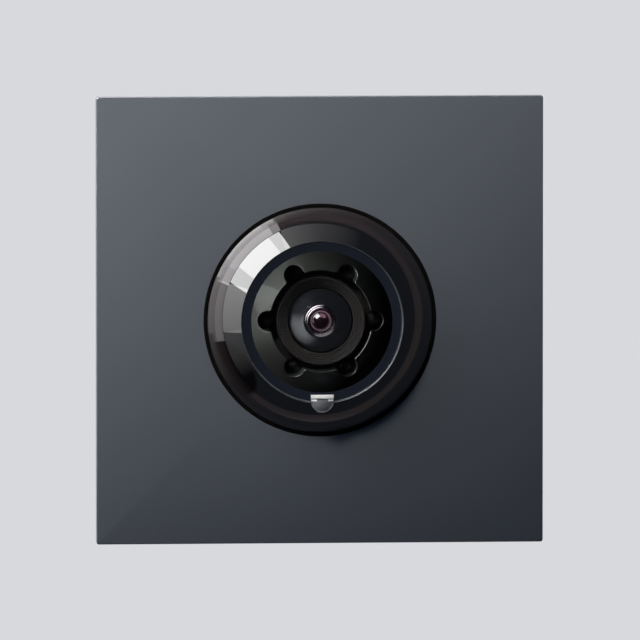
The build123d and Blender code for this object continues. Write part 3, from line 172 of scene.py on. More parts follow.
# bare metals: colour, roughness, grain in mm, how long the grain is drawn along X, and its depth in mm
metals = {
    "stainless": ("stainlessSteelTurned", "B9BABB", 0.28, 0.12, 1.0, 0.002),       # bright, finely turned
    "zinc_steel": ("zincPlatedSteel", "A0A3A6", 0.46, 0.6, 1.0, 0.004),            # soft spangled passivated zinc
    "brass_pin": ("brassTurned", "B5924C", 0.3, 0.15, 1.0, 0.002),                 # warm and bright
    "shield_tin": ("tinPlatedSteelSheet", "C2C3C0", 0.3, 0.3, 6.0, 0.003),         # rolled sheet, drawn grain
    "capacitor_can": ("aluminiumCanSleeved", "B5B8BA", 0.34, 0.25, 4.0, 0.003),    # drawn can
    "heater_foil": ("etchedCopperFoil", "A3561E", 0.35, 0.3, 1.0, 0.004),          # reddish film
    "gold_pin": ("goldFlashedBronze", "C9A24B", 0.24, 0.1, 1.0, 0.001),            # thin bright flash
    "copper_coil": ("enamelledCopperWire", "B5642F", 0.3, 0.2, 1.0, 0.003),        # lacquer over bare copper
}
for slot, (name, colour, roughness, grain, drawn, depth) in metals.items():
    material, tree, shader, place = startMaterial(name, colour, {"Roughness": roughness, "Metallic": 1.0})
    along = addNode(tree, "Mapping", {"Vector": place, "Scale": (1 / drawn, 1, 1)}).outputs["Vector"]
    addGrain(tree, shader, along, grain, depth, 0.06)
    dull = addNode(tree, "TexNoise", {"Vector": place, "Scale": 1 / (5 * mm), "Detail": 4.0})
    tone = addNode(tree, "MapRange", {"Value": dull.outputs["Fac"], "From Min": 0.45, "From Max": 0.75,
                                      "To Min": 0.0, "To Max": 0.35})
    addShade(tree, shader, tone.outputs["Result"], "8A8B8C" if slot in ("stainless", "zinc_steel") else colour)
    finishes[slot] = material

# powder-coated sheet under a clear lacquer: satin anthracite, mirror-like at a grazing look
material, tree, shader, place = startMaterial(
    "powderCoatAnthracite", "4D545E",
    {"Roughness": 0.5, "IOR": 1.4, "Specular IOR Level": 0.3, "Coat Weight": 1.0, "Coat Roughness": 0.13,
     "Coat IOR": 1.75})
addGrain(tree, shader, place, 0.45, 0.0022, 0.02)
speck = addNode(tree, "TexNoise", {"Vector": place, "Scale": 1 / (0.18 * mm), "Detail": 2.0})
addShade(tree, shader, speck.outputs["Fac"], "50575F")
finishes["plate_paint"] = material

# high-gloss black polycarbonate: mirror-like skin; a warmer, lighter tone is painted in towards its foot as a painted
# reflection, and a paler tone at the bore's edge as a painted highlight line, with less polish there; skin and edge are
# roughness, foot and bore are radii in mm between which the colour changes
gloss = {"skin": 0.03, "edge": 0.4, "foot": (23.0, 24.2), "bore": (19.37, 19.33)}
material, tree, shader, place = startMaterial(
    "polycarbonateHighGlossBlack", "08080A", {"Roughness": gloss["skin"], "IOR": 2.0})
across = axisDistance(tree, place)
# the warm tone at the foot is a painted reflection; the paler tone at the bore's edge is a painted highlight
for part, colour in (("foot", "1A1617"), ("bore", "3A4046")):
    share = addNode(tree, "MapRange", {"Value": across, "From Min": gloss[part][0], "From Max": gloss[part][1]})
    addShade(tree, shader, share.outputs["Result"], colour)
worn = addNode(tree, "MapRange", {"Value": share.outputs["Result"], "To Min": gloss["skin"], "To Max": gloss["edge"]})
tree.links.new(worn.outputs["Result"], shader.inputs["Roughness"])
finishes["dome_gloss"] = material


def clearMaterial(name, colour, sockets):
    # clear plastic or glass; its shadow rays pass, so that light reaches what lies behind it
    material, tree, shader, place = startMaterial(name, colour, {"Transmission Weight": 1.0, **sockets})
    shadowRay = addNode(tree, "LightPath").outputs["Is Shadow Ray"]
    passing = addNode(tree, "BsdfTransparent", {"Color": hexColour(colour)}).outputs["BSDF"]
    mix = addNode(tree, "MixShader", {0: shadowRay, 1: shader.outputs["BSDF"], 2: passing})
    tree.links.new(mix.outputs["Shader"], tree.nodes["Material Output"].inputs["Surface"])
    return material, tree, shader, place


# hard-coated polycarbonate cover; glass of the inner lenses; glass of the filter, which passes blue-green
finishes["clear_window"] = clearMaterial("polycarbonateClearHardCoat", "FAFCFF", {"Roughness": 0.0, "IOR": 1.5})[0]
finishes["lens_glass"] = clearMaterial("opticalGlassCoated", "F0ECF4", {"Roughness": 0.0, "IOR": 1.6})[0]
finishes["filter_glass"] = clearMaterial("infraredCutGlass", "BFE3E8", {"Roughness": 0.0, "IOR": 1.52})[0]

# acrylic light guide: milky over the dark sensor; its bar and pads are frosted in the mould, so they look white
material, tree, shader, place = clearMaterial(
    "acrylicLightGuide", "8A8D91", {"Transmission Weight": 0.35, "Roughness": 0.12, "IOR": 1.49})
axes = addNode(tree, "SeparateXYZ", {0: place}).outputs
aside = addNode(tree, "Math", {0: axes["X"]}, operation="ABSOLUTE").outputs["Value"]
limits = {"aboveBar": (axes["Z"], -18.3, -18.27), "abovePads": (axes["Z"], -18.83, -18.8),
          "besideMiddle": (aside, 1.3, 1.34), "proud": (axes["Y"], guideFront - 0.04, guideFront - 0.08)}
masks = {}
for name, (value, start, full) in limits.items():      # each mask rises from 0 to 1 between two places in mm
    masks[name] = addNode(tree, "MapRange", {
        "Value": value, "From Min": start * mm, "From Max": full * mm}).outputs["Result"]
onPads = addNode(tree, "Math", {0: masks["besideMiddle"], 1: masks["abovePads"]}, operation="MULTIPLY").outputs["Value"]
onForms = addNode(tree, "Math", {0: masks["aboveBar"], 1: onPads}, operation="MAXIMUM").outputs["Value"]
frosted = addNode(tree, "Math", {0: onForms, 1: masks["proud"]}, operation="MULTIPLY").outputs["Value"]
addShade(tree, shader, frosted, "F8F9FA")
clear = addNode(tree, "MapRange", {"Value": frosted, "To Min": 0.35, "To Max": 0.05}).outputs["Result"]
tree.links.new(clear, shader.inputs["Transmission Weight"])
finishes["light_guide"] = material

# screen-printed ink, dark navy, nearly matt
material, tree, shader, place = startMaterial(
    "screenPrintedInkNavy", "171B24", {"Roughness": 0.6, "Specular IOR Level": 0.05})
addGrain(tree, shader, place, 0.1, 0.001, 0.03)
finishes["mask_ink"] = material

# funnel moulded in a turned tool, and turned barrel under black anodising: fine concentric marks on both,
# drawn 0.3 mm and 0.18 mm apart so that they show
for slot, name, colour, roughness, metallic, depth, pitch in (
        ("shroud_black", "polycarbonateTurnedMouldBlack", "242220", 0.46, 0.0, 0.004, 0.3),
        ("barrel_black", "anodisedAluminiumBlack", "26272A", 0.22, 0.5, 0.0016, 0.18)):
    material, tree, shader, place = startMaterial(name, colour, {"Roughness": roughness, "Metallic": metallic})
    turns = addNode(tree, "Math", {0: axisDistance(tree, place), 1: 2 * pi / pitch}, operation="MULTIPLY")
    mark = addNode(tree, "Math", {0: turns.outputs["Value"]}, operation="SINE")
    uneven = addNode(tree, "TexNoise", {"Vector": place, "Scale": 1 / (0.5 * mm), "Detail": 2.0})
    height = addNode(tree, "Math", {0: mark.outputs["Value"], 1: uneven.outputs["Fac"]}, operation="MULTIPLY")
    bump = addNode(tree, "Bump", {"Height": height.outputs["Value"], "Distance": depth * mm})
    tree.links.new(bump.outputs["Normal"], shader.inputs["Normal"])
    finishes[slot] = material

# polished anodised ring: bright and smooth, only its polish wanders
material, tree, shader, place = startMaterial("anodisedAluminiumGrey", "B4AEB2", {"Roughness": 0.12, "Metallic": 1.0})
polish = addNode(tree, "TexNoise", {"Vector": place, "Scale": 1 / (1.5 * mm), "Detail": 2.0})
wander = addNode(tree, "MapRange", {"Value": polish.outputs["Fac"], "To Min": 0.08, "To Max": 0.16})
tree.links.new(wander.outputs["Result"], shader.inputs["Roughness"])
finishes["retainer_ring"] = material

# water-clear epoxy over a dark die: looks black
material, tree, shader, place = startMaterial("epoxyLampBlack", "08080A", {"Roughness": 0.4, "IOR": 1.4})
addGrain(tree, shader, place, 0.6, 0.001, 0.03)
finishes["lamp_lens"] = material

# purple-brown anti-reflex coating over the dark inside of the barrel; a pinkish band where the lens turns from the view
# is a painted reflection of the coating
material, tree, shader, place = startMaterial(
    "coatedLensOverDark", "150A0D", {"Roughness": 0.04, "IOR": 1.7, "Coat Weight": 0.6, "Coat Roughness": 0.02})
facing = addNode(tree, "LayerWeight", {"Blend": 0.5}).outputs["Facing"]
rim = addNode(tree, "MapRange", {"Value": facing, "From Min": 0.2, "From Max": 0.32})
inked = addNode(tree, "MapRange", {      # the glass is blackened from 2.42 mm outwards
    "Value": axisDistance(tree, place), "From Min": 2.5, "From Max": 2.42})
band = addNode(tree, "Math", {0: rim.outputs["Result"], 1: inked.outputs["Result"]}, operation="MULTIPLY")
# painted reflection: pinkish where the lens faces away from the view, inside the blackened edge
addShade(tree, shader, band.outputs["Value"], "7C656C")
coatedLens = material

wavesPerUnit = 3.2       # bands of a wave texture to one unit of its scale

# solder mask over copper tracks, 0.5 mm wide and 1.27 mm apart; round the camera it is black and matt
for slot, name, colour, track, roughness in (("board_green", "solderMaskGreen", "14482B", "1E6139", 0.32),
                                             ("board_black", "solderMaskBlackMatt", "060607", "0A0A0B", 0.6)):
    material, tree, shader, place = startMaterial(name, colour, {"Roughness": roughness, "IOR": 1.5})
    wave = addNode(tree, "TexWave", {"Vector": place, "Scale": 1 / (1.27 * mm) / wavesPerUnit, "Distortion": 1.5,
                                     "Detail": 0.0}, bands_direction="X")
    raised = addNode(tree, "MapRange", {"Value": wave.outputs["Fac"], "From Min": 0.55, "From Max": 0.62})
    addShade(tree, shader, raised.outputs["Result"], track)
    bump = addNode(tree, "Bump", {"Height": raised.outputs["Result"], "Distance": 0.02 * mm})
    tree.links.new(bump.outputs["Normal"], shader.inputs["Normal"])
    finishes[slot] = material

# polyimide ribbon: amber film over eight copper tracks, 0.5 mm wide and 1 mm apart
material, tree, shader, place = startMaterial("polyimideRibbonAmber", "B9732B", {"Roughness": 0.3, "IOR": 1.6})
wave = addNode(tree, "TexWave", {"Vector": place, "Scale": 1 / (1.0 * mm) / wavesPerUnit, "Detail": 0.0},
               bands_direction="X")
track = addNode(tree, "MapRange", {"Value": wave.outputs["Fac"], "From Min": 0.5, "From Max": 0.6})
addShade(tree, shader, track.outputs["Result"], "8E4A1C")
finishes["ribbon_amber"] = material

for node, thing in nodes.items():
    thing.data.materials[0] = finishes[slotOf[node]]
print("materials made:", len(bpy.data.materials))


def startPiece(piece=None):
    # back to object mode, with nothing selected but the piece that is worked on
    if bpy.context.mode != "OBJECT":
        bpy.ops.object.mode_set(mode="OBJECT")
    bpy.ops.object.select_all(action="DESELECT")
    if piece:
        piece.select_set(True)
        bpy.context.view_layer.objects.active = piece


def applyModifier(piece, kind, **settings):
    startPiece(piece)
    modifier = piece.modifiers.new(kind.title(), kind)
    for name, value in settings.items():
        setattr(modifier, name, value)
    bpy.ops.object.modifier_apply(modifier=modifier.name)


def closeMesh(piece, within=0.003):
    # doubles merged, loose ends dropped, normals outwards
    startPiece(piece)
    bpy.ops.object.mode_set(mode="EDIT")
    bpy.ops.mesh.select_all(action="SELECT")
    bpy.ops.mesh.remove_doubles(threshold=within * mm)
    bpy.ops.mesh.delete_loose()
    bpy.ops.mesh.select_all(action="SELECT")
    bpy.ops.mesh.normals_make_consistent(inside=False)
    bpy.ops.object.mode_set(mode="OBJECT")


def smooth(piece, angle):
    startPiece(piece)
    bpy.ops.object.shade_smooth_by_angle(angle=radians(angle))


def turnPiece(name, outline, steps=192, middle=(0.0, 0.0)):
    # outline: (radius, y) in mm, run round as extruded rings; radius 0 is a pole
    pole = 0.001
    outline = [(max(radius, pole), y) for radius, y in outline]
    (radius, y), x, z = outline[0], middle[0] * mm, middle[1] * mm
    startPiece()
    bpy.ops.mesh.primitive_circle_add(vertices=steps, radius=radius * mm, location=(x, y * mm, z),
                                      rotation=(radians(90), 0, 0))
    piece = bpy.context.object
    piece.name = name
    bpy.ops.object.transform_apply(location=True, rotation=True, scale=True)
    bpy.ops.object.mode_set(mode="EDIT")
    bpy.ops.mesh.select_all(action="SELECT")
    for nextRadius, nextY in outline[1:]:
        bpy.ops.mesh.extrude_region_move(TRANSFORM_OT_translate={"value": (0, (nextY - y) * mm, 0)})
        grow = nextRadius / radius
        bpy.ops.transform.resize(value=(grow, 1, grow), center_override=(x, nextY * mm, z))
        radius, y = nextRadius, nextY
    bpy.ops.object.mode_set(mode="OBJECT")
    closeMesh(piece)
    return piece


def cutAway(piece, cutter, operation="DIFFERENCE"):
    applyModifier(piece, "BOOLEAN", object=cutter, operation=operation, solver="EXACT")
    bpy.data.objects.remove(cutter)


def makeBlock(name, low, high):
    # a block between two corners in mm, a start for cutters and small forms
    startPiece()
    size = [(h - l) * mm for l, h in zip(low, high)]
    bpy.ops.mesh.primitive_cube_add(size=1, location=[(l + h) / 2 * mm for l, h in zip(low, high)], scale=size)
    piece = bpy.context.object
    piece.name = name
    bpy.ops.object.transform_apply(location=True, rotation=True, scale=True)
    return piece


def bevelEdges(piece, wanted, offset, segments):
    # rounds the edges that the test picks by their two ends, in mm
    startPiece(piece)
    bpy.ops.object.mode_set(mode="EDIT")
    bpy.ops.mesh.select_mode(type="EDGE")
    bpy.ops.mesh.select_all(action="DESELECT")
    bpy.ops.object.mode_set(mode="OBJECT")
    for edge in piece.data.edges:
        ends = [piece.data.vertices[n].co / mm for n in edge.vertices]
        edge.select = wanted(*ends)
    bpy.ops.object.mode_set(mode="EDIT")
    bpy.ops.mesh.bevel(offset=offset * mm, segments=segments, clamp_overlap=True)
    bpy.ops.object.mode_set(mode="OBJECT")


# the light guide's D: half its width, its flat top, and the room that the dome, cover and border leave round it
guideOutline = {"half": 2.7, "top": -17.26, "room": 0.1}


def guideBlock(name, grow, front, back):
    # the D drawn out along Y: flat top, half-round foot
    half = guideOutline["half"] + grow
    piece = makeBlock(name, (-half, front, guideMiddle - half), (half, back, guideOutline["top"] + grow))
    foot = guideMiddle - half + near
    bevelEdges(piece, lambda a, b: max(a.z, b.z) < foot and abs(a.x - b.x) < near, half - 0.001, segments=20)
    closeMesh(piece, 0.004)
    return piece


def sphereArc(sphere, across, toward, steps):
    # (radius, y) along a sphere about the ball's centre, from one distance off the axis to another
    start, end = asin(across / sphere), asin(toward / sphere)
    angles = [start + (end - start) * n / steps for n in range(steps + 1)]
    return [(sphere * sin(a), ballY - sphere * cos(a)) for a in angles]


def bulgeArc(edge, y, rise, steps):
    # (radius, y) along a shallow arc from an edge at y to the pole, which stands that much further forward
    sphere = (edge ** 2 + rise ** 2) / (2 * rise)
    whole = asin(edge / sphere)
    angles = [whole * (1 - n / steps) for n in range(steps + 1)]
    return [(sphere * sin(a), y - rise + sphere * (1 - cos(a))) for a in angles]


def finishPiece(piece, node, finish=None):
    # the piece takes the node's place, its body and its slot
    piece.data.materials.clear()
    piece.data.materials.append(finish or finishes[slotOf[node]])
    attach(piece, bodyOf[node])
    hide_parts(node)


# the face plate: 3 mm sheet, four welded studs behind it
plateSizes = {"width": 106.5, "corner": 0.6, "edgeRound": 0.3, "hole": 27.75, "studCircle": 36.0,
              "studRadius": 1.5, "studLength": 5.2, "studRoot": 1.0, "studChamfer": 0.3}
half, hole = plateSizes["width"] / 2, plateSizes["hole"]
plate = makeBlock("facePlate", (-half, plateFront, -half), (half, plateBack, half))
bevelEdges(plate, lambda a, b: abs(a.y - b.y) > 1, plateSizes["corner"], segments=6)
bevelEdges(plate, lambda a, b: max(a.y, b.y) < plateFront + near, plateSizes["edgeRound"], segments=5)
cutAway(plate, turnPiece("plateHole", [(0, plateFront - 2), (hole, plateFront - 2), (hole, plateBack + 2),
                                       (0, plateBack + 2)], steps=256))
radius, chamfer, root = plateSizes["studRadius"], plateSizes["studChamfer"], plateBack - plateSizes["studRoot"]
end = plateBack + plateSizes["studLength"]
for turn in (0, 90, 180, 270):
    x, z = plateSizes["studCircle"] * cos(radians(turn)), plateSizes["studCircle"] * sin(radians(turn))
    stud = turnPiece("stud", [(0, root), (radius, root), (radius, end - chamfer), (radius - chamfer, end), (0, end)],
                     steps=48, middle=(x, z))
    cutAway(plate, stud, "UNION")
closeMesh(plate, weld)
smooth(plate, 40)
finishPiece(plate, "front_plate")

# the rubber ring between plate and dome
sealSizes = {"inner": 26.95, "sleeve": 27.7, "foot": 30.4, "lip": -12.9, "footBack": -9.2, "edge": 0.25,
             "edgeMiddle": (0.08, 0.09), "innerEdge": 0.12}
inner, sleeve, foot, lip, back, edge, edgeMiddle, innerEdge = sealSizes.values()
seal = turnPiece("rubberSeal", [
    (inner, back), (foot, back), (foot, plateBack), (sleeve, plateBack), (sleeve, lip + edge),
    (sleeve - edgeMiddle[0], lip + edgeMiddle[1]), (sleeve - edge, lip), (inner + innerEdge, lip),
    (inner, lip + innerEdge), (inner, back)], steps=256)
smooth(seal, 50)
finishPiece(seal, "dome_seal")

# the glossy dome ring, part of a sphere, with its shelf, foot and the boss of the light sensor
domeSizes = {"bore": 19.05, "edgeRound": (0.15, 0.04, 0.3), "shelf": 17.2, "shelfThick": 1.2, "wall": 2.0,
             "foot": 30.4, "footFront": -9.2, "footBack": -8.0}
bossSizes = {"wall": 1.3, "sunk": 0.4, "behindGuide": 1.1, "top": -17.4, "intoDome": 1.0}
bore, foot, inside = domeSizes["bore"], domeSizes["foot"], domeBase - domeSizes["wall"]
shelf, shelfBack = domeSizes["shelf"], shelfFront + domeSizes["shelfThick"]
innerSphere = domeSphere - domeSizes["wall"]
meets = sqrt(innerSphere ** 2 - (ballY - shelfBack) ** 2)
outline = sphereArc(domeSphere, domeBase, domeEdge, 48)
along, down, whole = domeSizes["edgeRound"]      # three points round the bore's edge
outline += [(domeEdge - along, edgeY + down), (bore + down, edgeY + along), (bore, edgeY + whole)]
outline += [(bore, shelfFront), (shelf, shelfFront), (shelf, shelfBack)]
outline += sphereArc(innerSphere, meets, inside, 32)
outline += [(inside, domeSizes["footBack"]), (foot, domeSizes["footBack"]), (foot, domeSizes["footFront"]),
            (domeBase, domeSizes["footFront"]), (domeBase, plateFront)]
dome = turnPiece("domeRing", outline, steps=256)
half = guideOutline["half"] + bossSizes["wall"]
boss = makeBlock("sensorBoss", (-half, shelfFront + bossSizes["sunk"], guideMiddle - half),
                 (half, guideBack + bossSizes["behindGuide"], bossSizes["top"]))
limit = innerSphere + bossSizes["intoDome"]      # the boss ends inside the dome's wall
cutAway(boss, turnPiece("bossLimit", [(0, ballY - limit)] + sphereArc(limit, 0.5, 28, 40)[1:] + [(0, ballY)]),
        "INTERSECT")
cutAway(dome, boss, "UNION")
cutAway(dome, guideBlock("guideCut", guideOutline["room"], edgeY - 2, guideBack + 1.2))
closeMesh(dome, weld)
smooth(dome, 30)
finishPiece(dome, "dome_ring")

# the clear cover: a flat rim that bulges forward over the camera
coverSizes = {"radius": 18.95, "edge": 0.12, "bulge": 16.4, "bulgeBehind": 16.2, "rise": 2.3}
radius, edge = coverSizes["radius"], coverSizes["edge"]
outline = bulgeArc(coverSizes["bulgeBehind"], windowBack, coverSizes["rise"], 40)[::-1]
outline += [(radius, windowBack), (radius, windowFront + edge), (radius - edge, windowFront)]
outline += bulgeArc(coverSizes["bulge"], windowFront, coverSizes["rise"], 40)
cover = turnPiece("clearCover", outline)
cutAway(cover, guideBlock("guideCut", guideOutline["room"], windowFront - 1, windowBack + 1))
closeMesh(cover, weld)
smooth(cover, 30)
finishPiece(cover, "window")

# the printed border on the back of the cover's rim
borderSizes = {"inner": 16.75, "outer": 18.9}
inner, outer = borderSizes["inner"], borderSizes["outer"]
border = turnPiece("printedBorder", [(inner, windowBack), (outer, windowBack), (outer, shelfFront), (inner, shelfFront),
                                     (inner, windowBack)])
cutAway(border, guideBlock("guideCut", guideOutline["room"], windowBack - 1, shelfFront + 1))
closeMesh(border, weld)
smooth(border, 30)
finishPiece(border, "window_mask")

# the light guide in the rim: D-shaped, with a bulging lens and a bar along its flat side
lensSizes = {"radius": 2.35, "rise": 0.7, "root": 0.4, "top": -18.41, "room": 3.0}
barSizes = {"foot": -18.16, "proud": 0.45, "edge": 0.1, "root": 0.3}
padSizes = {"ends": (1.35, 2.62), "foot": -18.78, "top": -18.34, "proud": 0.35, "edge": 0.08, "root": 0.3}
guide = guideBlock("lightGuide", 0.0, guideFront, guideBack)
radius, root, room = lensSizes["radius"], guideFront + lensSizes["root"], lensSizes["room"]
lens = turnPiece("guideLens", [(0, root), (radius, root)] + bulgeArc(radius, guideFront, lensSizes["rise"], 20),
                 steps=96, middle=(0, guideMiddle))
cutAway(lens, makeBlock("lensLimit", (-room, guideFront - 1, guideMiddle - room),
                        (room, guideFront + 1, lensSizes["top"])), "INTERSECT")
cutAway(guide, lens, "UNION")
half, front, root = guideOutline["half"], guideFront - barSizes["proud"], guideFront + barSizes["root"]
bar = makeBlock("guideBar", (-half, front, barSizes["foot"]), (half, root, guideOutline["top"]))
bevelEdges(bar, lambda a, b: max(a.y, b.y) < front + near, barSizes["edge"], segments=3)
cutAway(guide, bar, "UNION")
front, root = guideFront - padSizes["proud"], guideFront + padSizes["root"]
for side in (-1, 1):     # two short pads under the bar's ends
    low, high = sorted(side * end for end in padSizes["ends"])
    pad = makeBlock("guidePad", (low, front, padSizes["foot"]), (high, root, padSizes["top"]))
    bevelEdges(pad, lambda a, b: max(a.y, b.y) < front + near, padSizes["edge"], segments=3)
    cutAway(guide, pad, "UNION")
closeMesh(guide, weld)
smooth(guide, 35)
finishPiece(guide, "sensor_light_guide")
print("plate, seal, dome, cover and light guide made")

# the stepped funnel round the lens
funnelSizes = {"radius": 10.45, "front": 22.4, "bore": 7.75, "neck": 9.9, "ledge": 17.0, "back": 12.0,
               "lip": 0.25, "lipMiddle": 0.07}
stepSizes = {"count": 5, "depth": 2.1, "slope": 0.35, "round": (0.05, 0.04)}
radius, front, bore, neck, ledge, back, lip, lipMiddle = funnelSizes.values()
top = radius - lip
stepIn, stepDown = (top - bore) / stepSizes["count"], stepSizes["depth"] / stepSizes["count"]
outline = [(radius, at(ledge)), (radius, at(front - lip)), (radius - lipMiddle, at(front - lipMiddle)),
           (top, at(front))]
for n in range(stepSizes["count"]):
    tread = front - stepDown * (n + 1)
    edge = top - stepIn * (n + stepSizes["slope"])
    outline += [(edge, at(tread + stepSizes["round"][1])), (edge - stepSizes["round"][0], at(tread)),
                (top - stepIn * (n + 1), at(tread))]
outline += [(bore, at(back)), (neck, at(back)), (neck, at(ledge)), (radius, at(ledge))]
shroud = turnPiece("lensFunnel", outline)
smooth(shroud, 38)
finishPiece(shroud, "lens_shroud")

# the barrel: a coned head in front of a threaded tube
barrelSizes = {"tube": 2.4, "back": 5.5, "thread": 6.0, "headBack": 14.5, "head": 7.45, "reach": 20.2, "edge": 0.25,
               "edgeMiddle": 0.07, "rise": 1.9, "coneTop": 4.1, "crest": 0.05, "seat": 3.8, "seatDepth": 0.5,
               "bore": 3.0, "boreDepth": 2.0}
tube, back, thread, headBack, head, reach, edge, edgeMiddle, rise, coneTop, crest, seat, seatDepth, bore, boreDepth = (
    barrelSizes.values())
top, coneFoot, coneSteps = reach + rise, head - edge, 8
outline = [(tube, at(back)), (thread, at(back)), (thread, at(headBack)), (head, at(headBack)), (head, at(reach - edge)),
           (head - edgeMiddle, at(reach - edgeMiddle)), (coneFoot, at(reach))]
outline += [(coneFoot + (coneTop - coneFoot) * n / coneSteps, at(reach + rise * n / coneSteps))
            for n in range(1, coneSteps)]
outline += [(coneTop + crest, at(top)), (coneTop, at(top)), (seat, at(top)), (seat, at(top - seatDepth)),
            (bore, at(top - seatDepth)), (bore, at(top - boreDepth)), (tube, at(top - boreDepth)), (tube, at(back))]
barrel = turnPiece("lensBarrel", outline)
smooth(barrel, 20)
finishPiece(barrel, "lens_barrel")

# the bright ring that holds the front lens: a flat step, then a quarter-round crown with an upright inner wall
ringSizes = {"inner": 2.75, "outer": 3.75, "edge": 0.05, "crest": 3.0, "curve": 0.44, "wall": 2.97,
             "rise": 1.05, "stepDown": 0.5}
inner, outer, edge, crest, curve, wall, rise, stepDown = ringSizes.values()
base = top - seatDepth
crown = base + rise
step = crown - stepDown
outline = [(inner, at(step)), (inner, at(base)), (outer, at(base)), (outer, at(step - edge)), (outer - edge, at(step))]
outline += [(crest + curve * cos(radians(a)), at(crown - curve + curve * sin(radians(a)))) for a in range(0, 86, 8)]
outline += [(crest, at(crown)), (wall + 0.01, at(crown - 0.02)), (wall, at(step)), (inner, at(step))]
retainer = turnPiece("lensRetainer", outline, steps=128)
smooth(retainer, 60)
finishPiece(retainer, "lens_retainer")

# the bulging front lens in the barrel's bore
frontLensSizes = {"radius": 2.7, "rise": 1.5}
radius, bed = frontLensSizes["radius"], at(top - boreDepth)
outline = [(0, bed), (radius, bed), (radius, at(top))] + bulgeArc(radius, at(top), frontLensSizes["rise"], 28)[1:]
frontLens = turnPiece("frontLens", outline, steps=128)
smooth(frontLens, 40)
finishPiece(frontLens, "front_lens", coatedLens)

# one infrared lamp, copied round the six pockets
lampSizes = {"radius": 1.9, "circle": 12.36, "tip": 20.4, "base": 16.5, "count": 6}
radius, tip, base, count = lampSizes["radius"], lampSizes["tip"], lampSizes["base"], lampSizes["count"]
outline = [(0, at(base)), (radius, at(base)), (radius, at(tip - radius))]
outline += [(radius * cos(radians(a)), at(tip - radius + radius * sin(radians(a)))) for a in range(6, 90, 6)]
outline += [(0, at(tip))]
lamps = turnPiece("infraredLamps", outline, steps=64, middle=(lampSizes["circle"], 0))
copies = []
for n in range(1, count):
    lamp = lamps.copy()
    lamp.data = lamps.data.copy()
    lamp.data.transform(Matrix.Rotation(2 * pi * n / count, 4, "Y"))
    bpy.context.scene.collection.objects.link(lamp)
    copies.append(lamp)
startPiece(lamps)
for lamp in copies:
    lamp.select_set(True)
bpy.ops.object.join()
smooth(lamps, 40)
finishPiece(lamps, "infrared_leds")
print("lens, funnel and lamps made")


def mergedCopy(node, name):
    # a copy of a node's mesh with its doubles merged
    piece = nodes[node].copy()
    piece.data = nodes[node].data.copy()
    piece.name = name
    piece.parent = None
    piece.matrix_world = Matrix()
    bpy.context.scene.collection.objects.link(piece)
    piece.hide_render = piece.hide_viewport = False
    piece.hide_set(False)
    startPiece(piece)
    bpy.ops.mesh.customdata_custom_splitnormals_clear()
    bpy.ops.object.mode_set(mode="EDIT")
    bpy.ops.mesh.select_all(action="SELECT")
    bpy.ops.mesh.remove_doubles(threshold=0.0002 * mm)
    bpy.ops.object.mode_set(mode="OBJECT")
    return piece


def smoothCopy(node):
    # shaded smooth, where the node itself is faceted
    piece = mergedCopy(node, node + "_smooth")
    smooth(piece, 30)
    applyModifier(piece, "WEIGHTED_NORMAL", keep_sharp=True)
    finishPiece(piece, node)


for node in ("ball_front_shell", "ball_rear_shell", "module_tray", "wall_seal", "rear_housing", "housing_seal",
             "mounting_frame", "terminal_block", "link_headers", "link_header_pins", "terminator_switch",
             "terminator_slider", "housing_screws", "lock_screw", "lock_washer", "terminal_button_1",
             "terminal_button_2", "terminal_button_3", "terminal_button_4", "gimbal_ring", "yoke", "led_board",
             "lens_lock_ring", "inner_lenses", "capacitors", "bus_choke", "plate_nuts", "pan_pins", "tilt_pins"):
    smoothCopy(node)

# the camera's ribbon, cut into a lower half and an upper half
ribbonSizes = {"depth": 17.15, "low": -16.2, "middle": -12.4, "high": -9.6, "foot": -16.6, "step": 0.45}
depth, middle, step = ribbonSizes["depth"], ribbonSizes["middle"], ribbonSizes["step"]
for name, bodies, upper in (("ribbonLower", ("housing", "gimbal"), False),
                            ("ribbonUpper", ("gimbal", "camera_ball"), True)):
    ribbon = mergedCopy("camera_ribbon", name)
    bpy.ops.object.mode_set(mode="EDIT")
    bpy.ops.mesh.select_all(action="SELECT")
    bpy.ops.mesh.bisect(plane_co=(0, 0, middle * mm), plane_no=(0, 0, 1), use_fill=True,
                        clear_inner=upper, clear_outer=not upper)
    height = ribbonSizes["foot"] + step
    while height < 0:        # short steps, so that it bends smoothly
        bpy.ops.mesh.select_all(action="SELECT")
        bpy.ops.mesh.bisect(plane_co=(0, 0, height * mm), plane_no=(0, 0, 1))
        height += step
    bpy.ops.object.mode_set(mode="OBJECT")
    smooth(ribbon, 40)
    ribbon.data.materials.clear()
    ribbon.data.materials.append(finishes["ribbon_amber"])
    low, high = (middle, ribbonSizes["high"]) if upper else (ribbonSizes["low"], middle)
    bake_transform(ribbon)
    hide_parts("camera_ribbon")
print("smooth copies and ribbon made")

# camera, as far and as high as the photograph's small parallax asks for
# distances in metres; field is the width of the view at the plate
cameraSizes = {"distance": 4.0, "azimuth": -4.4, "elevation": 4.4, "field": 0.1521, "sensor": 36}
optics = bpy.data.cameras.new("camera")
camera = bpy.data.objects.new("camera", optics)
bpy.context.scene.collection.objects.link(camera)
aim = Vector((0, plateFront * mm, 0))
azimuth, elevation = radians(cameraSizes["azimuth"]), radians(cameraSizes["elevation"])
away = Vector((sin(azimuth) * cos(elevation), -cos(azimuth) * cos(elevation), sin(elevation)))
camera.location = aim + away * cameraSizes["distance"]
camera.rotation_euler = (-away).to_track_quat("-Z", "Y").to_euler()
optics.sensor_width = cameraSizes["sensor"]
optics.lens = cameraSizes["sensor"] * cameraSizes["distance"] / cameraSizes["field"]
optics.clip_end = 50
bpy.context.scene.camera = camera


